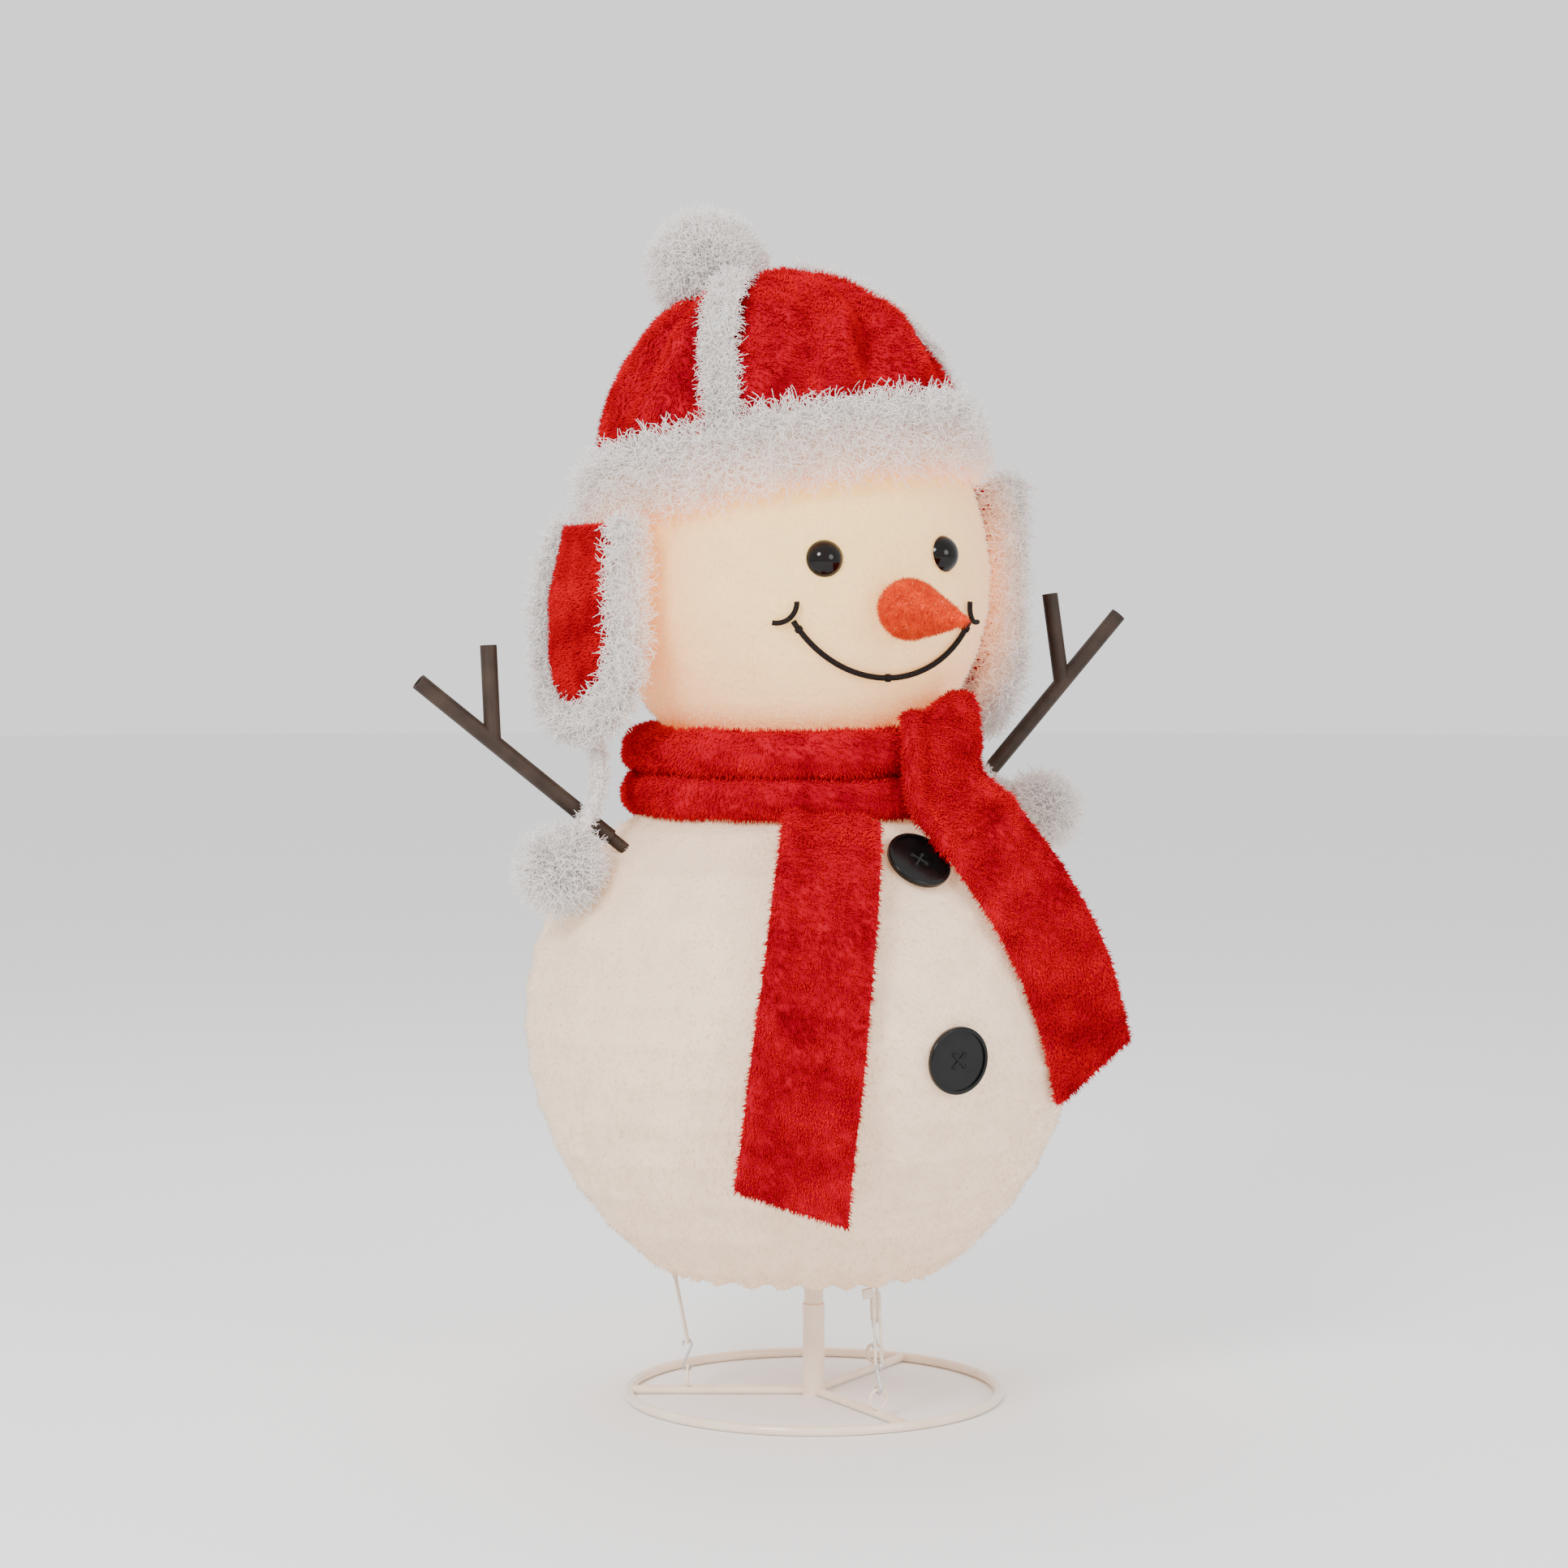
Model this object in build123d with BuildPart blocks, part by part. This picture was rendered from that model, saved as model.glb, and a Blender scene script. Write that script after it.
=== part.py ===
from build123d import *
import os
from math import asin, atan2, cos, degrees, pi, radians, sin, sqrt, tan

# A collapsible, pre-lit yard snowman. Plush covers are sewn over spiral wire frames that hang
# from the top of a telescoping centre pole; three elastic ties pull the hem down to a ring base.
# Millimetres, +Z up, front towards -Y. The origin is the centre of the hub's flat underside.
# Azimuths are measured from the front, positive towards +X.

os.makedirs("parts", exist_ok=True)

# ---- driving dimensions -------------------------------------------------------------------
gap = 0.4                       # air between soft pieces and what they lie against
cloth = 3.0                     # thickness of the plush covers

ring_radius = 143.8             # base ring, to the middle of the rod
ring_rod = 3.75                 # radius of the ring's rod
spoke_rod = 3.2
spoke_azimuths = {"front": 0, "right": 120, "left": -120}
tie_eye_at = 98.0               # distance of the welded eyes from the hub's middle
tie_eye_radius = 7.3
tie_eye_wire = 1.2
hook_bend = 3.4                 # S-hook, radius of each bend to the wire's middle
hook_wire = 1.0
hook_height = 17.2              # between the centres of the two bends
elastic_radius = 1.25
elastic_spread = 2.6            # half the distance between the two strands of a loop
elastic_tab = (4.2, 7.0)        # thickness and height of the sewn tab at a loop's top
weld_sink = 0.5                 # how far the eyes sink into the spokes

pole_axis = Vector(0, 0, 0)
hub_radius = 8.7
hub_height = 7.2
stub_radius = 7.5
stub_top = 42.0
sleeve_bore = 7.55
sleeve_top = 72.0
lower_pole_radius = 7.5
lower_pole_bore = 6.25
lower_pole_top = 440.0
upper_pole_radius = 6.2
upper_pole_bore = 5.0
upper_pole_bottom = 400.0
upper_pole_top = 780.0
collar_radius = 10.5
collar_bottom, collar_top = 428.0, 462.0
collar_clearance, collar_grips, collar_grip_radius = 0.08, 12, 1.4
cap_radius, cap_plug = 9.0, 18.0
plate_radius, plate_hole = 34.0, 6.0
plate_bottom, plate_top = 783.0, 786.0

frame_wire = 1.6                # radius of the spiral frames' wire
frame_inset = 7.0               # from the covers' outside to the middle of that wire
frame_pitch = 30.0
lead_wire = 1.2
lead_inset = 24.0               # the lamp leads hang inside the spiral frames
lead_pitch = 64.0
neck_ring_radius = 82.0

belly_radius, belly_widest = 213.0, 300.0
belly_low, belly_high = 228.0, 190.0       # heights of the belly's lower and upper halves
belly_bottom, belly_top = 100.0, 470.0
head_radius, head_widest = 146.0, 630.0
head_low, head_high = 155.0, 168.0
head_bottom, head_top = 492.0, 793.0
belly_gores, belly_tiers = 12, (180.0, 260.0, 340.0, 410.0)
head_gores, head_tiers = 10, (550.0, 630.0, 710.0)
crown_tiers = (95.0,)

eye_azimuths = {"left": -22, "right": 19}
eye_height = {"left": 647.0, "right": 651.0}
eye_radius, eye_rise, eye_stem = 13.6, 9.0, 2.2
nose_height, nose_length, nose_droop = 612.0, 96.0, 6.0
nose_ball, nose_tip = 23.0, 4.5
mouth_wire_radius = 2.2
mouth_end_azimuth, mouth_end_height, mouth_bottom_height = 31.0, 602.0, 561.0
mouth_offset = 4.0              # from the cover to the middle of the mouth's wire

button_radius, button_thickness, button_rim = 25.0, 5.0, 3.0
button_edge, button_recess = 1.4, 1.6
button_hole_radius, button_hole_spread = 1.9, 4.4
thread_slack, thread_width, thread_height = 0.4, 1.6, 1.0
buttons = {"upper": 424.0, "lower": 284.0}
button_azimuth = 2.0

arm_radius, arm_bore = 6.25, 4.7
arm_length, twig_length, twig_angle, twig_from_tip = 187.0, 72.0, 48.5, 72.0
peg_radius = 4.63
# side: (azimuth and height of the root, azimuth and rise the arm points along, peg length)
arms = {
    "left": (-90.0, 431.0, -103.0, 39.0, 13.0),
    "right": (97.0, 440.0, 72.0, 49.5, 30.0),
}

band_roll, band_middle = 17.5, 119.0       # the scarf's band is two rolls, one on the other
band_heights = (469.0, 502.5)
knot_azimuths, knot_heights = (12.0, 44.0), (462.0, 540.0)
tail_thickness = 5.0
front_tail_width, side_tail_width = 76.0, 72.0

hat_height = 716.0              # of the middle of the brim
hat_shift = Vector(-10.4, 6.0, 0)          # the hat sits off the head's axis
hat_lean = (-0.105, 0.158, 1.0)            # direction of the hat's axis
brim_middle, brim_half_width, brim_half_height = 141.0, 15.0, 31.0
crown_radius, crown_height, crown_base = 140.0, 131.0, 19.0
strip_width, strip_thickness = 34.0, 3.0
strip_azimuths = (-48, 72, 192)
pompom_radius, pompom_centre = 44.0, (-71.0, 41.0, 870.0)

flap_panel, flap_trim_half = 4.0, 12.0
flap_half_width, flap_trim_width = 48.0, 26.0
flap_azimuths = {"left": -95.0, "right": 97.0}
flap_radii = {"left": 176.0, "right": 172.0}
flap_low, flap_top = 537.0, 730.0          # the panel's lowest point; the brim cuts off its top
tassel_cord_radius = 5.0
tassel_ball = {"left": 31.0, "right": 28.0}
# from the tip of each ear flap to its pompom, lying forward over the arm
tassel_routes = {
    "left": [(-173.6, 26.2, 507.5), (-179.5, 9.5, 489.5), (-189.3, -4.5, 467.5), (-200.6, 0.0, 444.0)],
    "right": [(152.0, 26.2, 507.5), (150.4, 14.4, 490.8), (156.0, -3.2, 474.2), (171.0, -15.8, 464.4)],
}

# ---- shared geometry ----------------------------------------------------------------------
belly_centre = Vector(-8.2, 4.7, 0)        # the covers hang slightly off the pole
head_centre = Vector(-10.8, 6.2, 0)


def outward(azimuth, rise=0.0):
    """Unit vector pointing away from the axis at an azimuth, tilted up by rise degrees."""
    flat = cos(radians(rise))
    return Vector(sin(radians(azimuth)) * flat, -cos(radians(azimuth)) * flat, sin(radians(rise)))


def around(centre, azimuth, radius, height):
    """Point at an azimuth, a radius and a height about a vertical axis."""
    return centre + outward(azimuth) * radius + Vector(0, 0, height)


def tangent(azimuth):
    """Horizontal direction round the axis, towards growing azimuths."""
    return Vector(cos(radians(azimuth)), sin(radians(azimuth)), 0)


class Egg:
    """A body of revolution made of two half ellipsoids that meet where it is widest."""

    def __init__(self, frame, radius, widest, low, high, bottom, top):
        self.frame, self.radius, self.widest = frame, radius, widest
        self.low, self.high, self.bottom, self.top = low, high, bottom, top
        self.axis = Axis(frame.origin, frame.z_dir)
        self.profile = Plane(origin=frame.origin, x_dir=frame.x_dir, z_dir=frame.y_dir * -1)

    def radius_at(self, height):
        half = self.high if height > self.widest else self.low
        return self.radius * sqrt(1 - ((height - self.widest) / half) ** 2)

    def normal(self, azimuth, height):
        half = self.high if height > self.widest else self.low
        rise = atan2((height - self.widest) / half**2, self.radius_at(height) / self.radius**2)
        return outward(azimuth, degrees(rise))

    def surface(self, azimuth, height):
        return around(self.frame.origin, azimuth, self.radius_at(height), height)

    def nearest(self, point):
        """Azimuth and height of the place on the body that is nearest to a point beside it."""
        offset = point - self.frame.origin
        azimuth = degrees(atan2(offset.X, -offset.Y))
        heights = range(int(self.bottom), int(self.top))
        return azimuth, min(heights, key=lambda height: (self.surface(azimuth, height) - point).length)

    def outline(self, grow, bottom, top, mode=Mode.ADD):
        """Half of the body's section, its curve drawn as short arcs between points of the ellipses."""
        points = []
        for half, low_z, high_z in (
            (self.low, bottom, min(top, self.widest)),
            (self.high, max(bottom, self.widest), top),
        ):
            if high_z > low_z:
                first = asin((low_z - self.widest) / (half + grow))
                last = asin((high_z - self.widest) / (half + grow))
                for step in range(1 if points else 0, 9):
                    turn = first + (last - first) * step / 8
                    points.append(
                        ((self.radius + grow) * cos(turn), self.widest + (half + grow) * sin(turn))
                    )
        with BuildLine() as edge:
            for start, middle, end in zip(points[::2], points[1::2], points[2::2]):
                ThreePointArc(start, middle, end)
            Polyline(points[-1], (0, points[-1][1]), (0, points[0][1]), points[0])
        make_face(edge.edges(), mode=mode)

    def solid(self, grow=0.0, bottom=None, top=None):
        """Adds the whole body, grown all round."""
        with BuildSketch(self.profile) as half_section:
            self.outline(grow, self.bottom if bottom is None else bottom, self.top if top is None else top)
        revolve(half_section.sketch, axis=self.axis)

    def shell(self, outer, inner):
        """Adds the skin between two offsets of the body, open at its bottom and its top."""
        with BuildSketch(self.profile) as skin:
            self.outline(outer, self.bottom, self.top)
            self.outline(inner, self.bottom, self.top, mode=Mode.SUBTRACT)
        revolve(skin.sketch, axis=self.axis)

    def panels(self, gores, tiers):
        """Cuts the cover being made into the panels it is sewn from, all round and at each tier's foot."""
        for height in tiers:
            split(bisect_by=self.frame.offset(height), keep=Keep.BOTH)
        for number in range(gores // 2):
            turn = radians(360 / gores * (number + 0.5))
            seam = Plane(
                origin=self.frame.origin, z_dir=self.frame.x_dir * cos(turn) + self.frame.y_dir * sin(turn)
            )
            split(bisect_by=seam, keep=Keep.BOTH)


belly = Egg(
    Plane(origin=belly_centre), belly_radius, belly_widest, belly_low, belly_high, belly_bottom, belly_top
)
head = Egg(
    Plane(origin=head_centre), head_radius, head_widest, head_low, head_high, head_bottom, head_top
)
hat_frame = Plane(
    origin=head_centre + hat_shift + Vector(0, 0, hat_height), x_dir=(1, 0, 0.105), z_dir=hat_lean
)
crown = Egg(
    hat_frame, crown_radius, crown_base, crown_height, crown_height, brim_half_height + 1,
    crown_base + crown_height - cloth - 0.5,
)

with BuildPart() as head_core:
    head.solid(grow=2 * gap, top=head_widest + head_high - 1, bottom=head_widest - head_low + 1)
with BuildPart() as belly_core:
    belly.solid(grow=2 * gap, top=belly_widest + belly_high - 1)
with BuildPart() as crown_core:
    crown.solid(grow=strip_thickness + 2 * gap, bottom=crown_base)


def save(part, name):
    part.part.label = name
    export_step(part.part, f"parts/{name}.step")


def tube(top, bottom, outer, bore):
    """An upright tube on the pole's axis."""
    with BuildSketch(Plane.XY.offset(bottom)) as section:
        Circle(outer)
        Circle(bore, mode=Mode.SUBTRACT)
    extrude(section.sketch, amount=top - bottom)


def swept(path, radius):
    """A round rod or wire along a path."""
    with BuildSketch(Plane(origin=path @ 0, z_dir=path % 0)) as section:
        Circle(radius)
    sweep(section.sketch, path=path)


# ---- ring base ----------------------------------------------------------------------------
with BuildPart() as base_ring:
    with BuildSketch(Plane.XZ):
        with Locations((ring_radius, ring_rod)):
            Circle(ring_rod)
    revolve(axis=Axis.Z)
save(base_ring, "base_ring")

with BuildPart() as hub_boss:
    Cylinder(hub_radius, hub_height, align=(Align.CENTER, Align.CENTER, Align.MIN))
    Cylinder(stub_radius, stub_top, align=(Align.CENTER, Align.CENTER, Align.MIN))
    chamfer(hub_boss.edges().sort_by(Axis.Z)[-1], 1.0)
save(hub_boss, "hub_boss")

for side, azimuth in spoke_azimuths.items():
    with BuildPart() as spoke:
        with BuildSketch(Plane(origin=(0, 0, ring_rod), z_dir=outward(azimuth))):
            Circle(spoke_rod)
        extrude(amount=ring_radius)
        add(hub_boss.part, mode=Mode.SUBTRACT)
        Cylinder(hub_radius, 2 * hub_height, mode=Mode.SUBTRACT)
        add(base_ring.part, mode=Mode.SUBTRACT)
    save(spoke, f"base_spoke_{side}")

eye_centre_height = ring_rod + spoke_rod + tie_eye_radius + tie_eye_wire - weld_sink
hook_foot = eye_centre_height + tie_eye_radius
hook_top_wire = hook_foot + hook_height + hook_bend
with BuildPart() as tie_eyes:
    for azimuth in spoke_azimuths.values():
        middle = around(pole_axis, azimuth, tie_eye_at, eye_centre_height)
        with BuildSketch(Plane(origin=middle, x_dir=tangent(azimuth), z_dir=(0, 0, 1))):
            with Locations((tie_eye_radius, 0)):
                Circle(tie_eye_wire)
        revolve(axis=Axis(middle, outward(azimuth)))
    for azimuth in spoke_azimuths.values():
        with BuildSketch(Plane(origin=(0, 0, ring_rod), z_dir=outward(azimuth))):
            Circle(spoke_rod)
        extrude(amount=ring_radius, mode=Mode.SUBTRACT)
save(tie_eyes, "tie_eyes")

cross = degrees(asin(2 * hook_bend / hook_height))
with BuildPart() as s_hooks:
    for azimuth in spoke_azimuths.values():
        upright = Plane(
            origin=around(pole_axis, azimuth, tie_eye_at, hook_foot),
            x_dir=outward(azimuth),
            z_dir=tangent(azimuth) * -1,
        )
        with BuildLine(upright) as hook_line:
            lower = CenterArc((0, 0), hook_bend, 160, 200 + cross)
            upper = CenterArc((0, hook_height), hook_bend, 180 + cross, -(200 + cross))
            Line(lower @ 1, upper @ 0)
        swept(hook_line.wires()[0], hook_wire)
save(s_hooks, "s_hooks")

for side, azimuth in spoke_azimuths.items():
    loop_foot = around(pole_axis, azimuth, tie_eye_at, hook_top_wire)
    loop_top = around(belly_centre, azimuth, belly.radius_at(belly_bottom) - cloth, belly_bottom - 3 * gap)
    pull = loop_top - loop_foot
    with BuildPart() as elastic_loop:
        strand_plane = Plane(
            origin=loop_foot, x_dir=tangent(azimuth), z_dir=tangent(azimuth).cross(pull)
        )
        with BuildLine(strand_plane) as strand:
            bend = CenterArc((0, 0), elastic_spread, 180, 180)
            Line(bend @ 0, (-elastic_spread, pull.length - elastic_tab[1] / 2))
            Line(bend @ 1, (elastic_spread, pull.length - elastic_tab[1] / 2))
        swept(strand.wires()[0], elastic_radius)
        with BuildSketch(Plane(origin=loop_top, x_dir=tangent(azimuth), z_dir=pull * -1)):
            SlotOverall(2 * elastic_spread + elastic_tab[0], elastic_tab[0])
        extrude(amount=elastic_tab[1])
    save(elastic_loop, f"elastic_loop_{side}")

# ---- pole ---------------------------------------------------------------------------------
with BuildPart() as base_sleeve:
    tube(sleeve_top, hub_height, hub_radius, sleeve_bore)
    fillet(base_sleeve.edges().group_by(Axis.Z)[-1].sort_by(SortBy.LENGTH)[-1], 0.8)
save(base_sleeve, "base_sleeve")

with BuildPart() as pole_lower:
    tube(lower_pole_top, stub_top, lower_pole_radius, lower_pole_bore)
save(pole_lower, "pole_lower")

with BuildPart() as lock_collar:
    tube(collar_top, collar_bottom, collar_radius, upper_pole_radius + collar_clearance)
    with BuildSketch(Plane.XY.offset(collar_bottom)):
        Circle(lower_pole_radius + collar_clearance)
    extrude(amount=lower_pole_top + gap - collar_bottom, mode=Mode.SUBTRACT)
    with BuildSketch(Plane.XY.offset(collar_bottom)):
        with PolarLocations(collar_radius + collar_grip_radius / 3, collar_grips):
            Circle(collar_grip_radius)
    extrude(amount=collar_top - collar_bottom, mode=Mode.SUBTRACT)
save(lock_collar, "lock_collar")

with BuildPart() as pole_upper:
    tube(upper_pole_top, upper_pole_bottom, upper_pole_radius, upper_pole_bore)
save(pole_upper, "pole_upper")

with BuildPart() as pole_cap:
    with BuildSketch(Plane.XY.offset(upper_pole_top)):
        Circle(cap_radius)
    extrude(amount=plate_bottom - upper_pole_top)
    with BuildSketch(Plane.XY.offset(upper_pole_top)):
        Circle(upper_pole_bore)
    extrude(amount=-cap_plug)
save(pole_cap, "pole_cap")

with BuildPart() as top_plate:
    with BuildSketch(Plane.XY.offset(plate_bottom)):
        Circle(plate_radius)
        with PolarLocations(plate_radius * 0.6, 6):
            Circle(plate_hole, mode=Mode.SUBTRACT)
    extrude(amount=plate_top - plate_bottom)
save(top_plate, "top_plate")


# ---- spiral frames and lamps --------------------------------------------------------------
def spiral_points(egg, inset, first, last, pitch):
    """Ends of the half turns of a rising spiral, alternately at +X and -X of the axis."""
    azimuth, height, points = 90, first, []
    while height <= last:
        points.append(egg.surface(azimuth, height) - egg.normal(azimuth, height) * inset)
        azimuth, height = -azimuth, height + pitch / 2
    return points


def spiral(points, radius):
    """Wire of half circles, each in a slightly tilted plane, so that every joint is smooth."""
    with BuildLine() as line:
        for number, (start, end) in enumerate(zip(points, points[1:])):
            swing = Vector(0, (end - start).length / 2 * (1 if number % 2 == 0 else -1), 0)
            ThreePointArc(start, (start + end) / 2 + swing, end)
    swept(line.wires()[0], radius)


belly_turns = spiral_points(belly, frame_inset, belly_bottom + 26, belly_top - 6, frame_pitch)
head_turns = spiral_points(head, frame_inset, head_bottom + 30.3, head_top - 22, frame_pitch)
belly_lead = spiral_points(belly, lead_inset, belly_bottom + 24, belly_top - 92, lead_pitch)
head_lead = spiral_points(head, lead_inset, head_bottom + 20, head_top - 100, lead_pitch)

for name, points, radius in (
    ("belly_spiral", belly_turns, frame_wire),
    ("head_spiral", head_turns, frame_wire),
    ("light_lead_belly", belly_lead, lead_wire),
    ("light_lead_head", head_lead, lead_wire),
):
    with BuildPart() as wire:
        spiral(points, radius)
    save(wire, name)

holder_radius, holder_height, bulb_radius, bulb_height = 3.6, 13.0, 2.8, 12.0
for name, points in (("belly", belly_lead), ("head", head_lead)):
    with BuildPart() as holders:
        for point in points:
            with BuildSketch(Plane(origin=point + Vector(0, 0, lead_wire))):
                Circle(holder_radius)
            extrude(amount=holder_height)
    save(holders, f"lamp_holders_{name}")
    with BuildPart() as bulbs:
        for point in points:
            foot = point + Vector(0, 0, lead_wire + holder_height)
            with BuildSketch(Plane(origin=foot, x_dir=(1, 0, 0), z_dir=(0, -1, 0))):
                with BuildLine():
                    shoulder = bulb_height - bulb_radius
                    Polyline((0, bulb_height), (0, 0), (bulb_radius, 0), (bulb_radius, shoulder))
                    CenterArc((0, shoulder), bulb_radius, 0, 90)
                make_face()
            revolve(axis=Axis(foot, (0, 0, 1)))
    save(bulbs, f"lamp_bulbs_{name}")

hem_height = belly_bottom + 9
hem_seat = belly.surface(90, hem_height) - belly.normal(90, hem_height) * (cloth + frame_wire + gap)
for name, centre, radius, height in (
    ("hem_ring", belly_centre, hem_seat.X - belly_centre.X, hem_seat.Z),
    ("neck_ring", head_centre, neck_ring_radius, (belly_top + head_bottom) / 2),
):
    with BuildPart() as hoop:
        with BuildSketch(Plane(origin=centre, x_dir=(1, 0, 0), z_dir=(0, -1, 0))):
            with Locations((radius, height)):
                Circle(frame_wire)
        revolve(axis=Axis(centre, (0, 0, 1)))
    save(hoop, name)

# ---- covers -------------------------------------------------------------------------------
arm_roots = {}
for side, (azimuth, height, aim, rise, peg) in arms.items():
    root, along = belly.surface(azimuth, height), outward(aim, rise)
    twig = outward(aim, rise + twig_angle)
    arm_roots[side] = (Plane(origin=root, x_dir=twig - along * twig.dot(along), z_dir=along), peg)

with BuildPart() as belly_cover:
    belly.shell(0, -cloth)
    for plane, peg in arm_roots.values():
        with BuildSketch(plane.offset(-12)):
            Circle(peg_radius + 2 * gap)
        extrude(amount=24, mode=Mode.SUBTRACT)
    belly.panels(belly_gores, belly_tiers)
save(belly_cover, "belly_cover")

eye_planes = {
    side: Plane(
        origin=head.surface(azimuth, eye_height[side]) + head.normal(azimuth, eye_height[side]) * gap,
        z_dir=head.normal(azimuth, eye_height[side]),
    )
    for side, azimuth in eye_azimuths.items()
}
with BuildPart() as head_cover:
    head.shell(0, -cloth)
    for plane in eye_planes.values():
        with BuildSketch(plane.offset(-10)):
            Circle(eye_stem + gap)
        extrude(amount=12, mode=Mode.SUBTRACT)
    head.panels(head_gores, head_tiers)
save(head_cover, "head_cover")

# ---- face ---------------------------------------------------------------------------------
stem_length, washer_radius, washer_thickness = 9.0, 8.0, 1.5
dome_radius = (eye_radius**2 + eye_rise**2) / (2 * eye_rise)
dome_half_chord = sqrt(eye_radius**2 + eye_rise**2) / 2
dome_sagitta = dome_radius - sqrt(dome_radius**2 - dome_half_chord**2)
for side, plane in eye_planes.items():
    profile = Plane(origin=plane.origin, x_dir=plane.x_dir, z_dir=plane.y_dir * -1)
    with BuildPart() as eye:
        with BuildSketch(profile):
            with BuildLine():
                Polyline((0, eye_rise), (0, 0), (eye_radius, 0))
                SagittaArc((eye_radius, 0), (0, eye_rise), -dome_sagitta)
            make_face()
        revolve(axis=Axis(plane.origin, plane.z_dir))
        with BuildSketch(plane):
            Circle(eye_stem)
        extrude(amount=-stem_length)
    save(eye, f"eye_{side}")

with BuildPart() as eye_washers:
    for plane in eye_planes.values():
        with BuildSketch(plane.offset(-stem_length + 2)):
            Circle(washer_radius)
            Circle(eye_stem + 0.05, mode=Mode.SUBTRACT)
        extrude(amount=washer_thickness)
save(eye_washers, "eye_washers")

nose_plane = Plane(
    origin=head.surface(0, nose_height) + outward(0, -nose_droop) * 2.2,
    x_dir=(1, 0, 0),
    z_dir=outward(0, -nose_droop),
)
with BuildPart() as nose:
    ball_middle, tip_middle = 17.0, nose_length - nose_tip
    slope = asin((nose_ball - nose_tip) / (tip_middle - ball_middle))
    ball_end = (nose_ball * cos(slope), ball_middle + nose_ball * sin(slope))
    tip_end = (nose_tip * cos(slope), tip_middle + nose_tip * sin(slope))
    foot_radius = sqrt(nose_ball**2 - ball_middle**2)
    profile = Plane(origin=nose_plane.origin, x_dir=nose_plane.x_dir, z_dir=nose_plane.y_dir * -1)
    with BuildSketch(profile):
        with BuildLine():
            Line((0, nose_length), (0, 0))
            Line((0, 0), (foot_radius, 0))
            ThreePointArc((foot_radius, 0), (nose_ball, ball_middle), ball_end)
            Line(ball_end, tip_end)
            ThreePointArc(
                tip_end, (nose_tip * cos(pi / 3), tip_middle + nose_tip * sin(pi / 3)), (0, nose_length)
            )
        make_face()
    revolve(axis=Axis(nose_plane.origin, nose_plane.z_dir))
save(nose, "nose")


def on_face(azimuth, height, offset=mouth_offset):
    return head.surface(azimuth, height) + head.normal(azimuth, height) * offset


mouth_left = on_face(-mouth_end_azimuth, mouth_end_height)
mouth_right = on_face(mouth_end_azimuth, mouth_end_height)
mouth_bottom = on_face(0, mouth_bottom_height)
with BuildPart() as mouth_wire:
    with BuildLine() as smile:
        ThreePointArc(mouth_left, mouth_bottom, mouth_right)
    swept(smile.wires()[0], mouth_wire_radius)
save(mouth_wire, "mouth_wire")

with BuildPart() as mouth_corners:
    for side in (-1, 1):
        with BuildLine() as corner:
            ThreePointArc(
                on_face(side * (mouth_end_azimuth + 6.0), mouth_end_height - 1),
                on_face(side * (mouth_end_azimuth + 1.0), mouth_end_height + 2.2),
                on_face(side * (mouth_end_azimuth - 1.0), mouth_end_height + 14),
            )
        swept(corner.wires()[0], mouth_wire_radius * 0.9)
    add(mouth_wire.part, mode=Mode.SUBTRACT)
save(mouth_corners, "mouth_corners")

with BuildPart() as mouth_ties:
    for share in (0.04, 0.5, 0.96):
        place = Plane(origin=smile.line @ share, z_dir=smile.line % share)
        with BuildSketch(place):
            Circle(mouth_wire_radius + 0.9)
            Circle(mouth_wire_radius + 0.05, mode=Mode.SUBTRACT)
        extrude(amount=1.5, both=True)
save(mouth_ties, "mouth_ties")

# ---- buttons ------------------------------------------------------------------------------
button_planes = {
    name: Plane(
        origin=belly.surface(button_azimuth, height) + belly.normal(button_azimuth, height) * gap,
        z_dir=belly.normal(button_azimuth, height),
    )
    for name, height in buttons.items()
}
for name, plane in button_planes.items():
    with BuildPart() as button:
        with BuildSketch(plane):
            Circle(button_radius)
        extrude(amount=button_thickness)
        fillet(button.edges(), button_edge)
        with BuildSketch(plane.offset(button_thickness)):
            Circle(button_radius - button_rim)
        extrude(amount=-button_recess, mode=Mode.SUBTRACT)
        with BuildSketch(plane):
            with GridLocations(2 * button_hole_spread, 2 * button_hole_spread, 2, 2):
                Circle(button_hole_radius)
        extrude(amount=button_thickness, mode=Mode.SUBTRACT)
    save(button, f"button_{name}")
    with BuildPart() as threads:
        with BuildSketch(plane.offset(0.2)):
            with GridLocations(2 * button_hole_spread, 2 * button_hole_spread, 2, 2):
                Circle(button_hole_radius - thread_slack)
        extrude(amount=button_thickness - button_recess)
        for turn in (45, -45):
            with BuildSketch(plane.offset(button_thickness - button_recess)):
                SlotCenterToCenter(2 * sqrt(2) * button_hole_spread, thread_width, rotation=turn)
            extrude(amount=thread_height)
    save(threads, f"button_thread_{name}")

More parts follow.
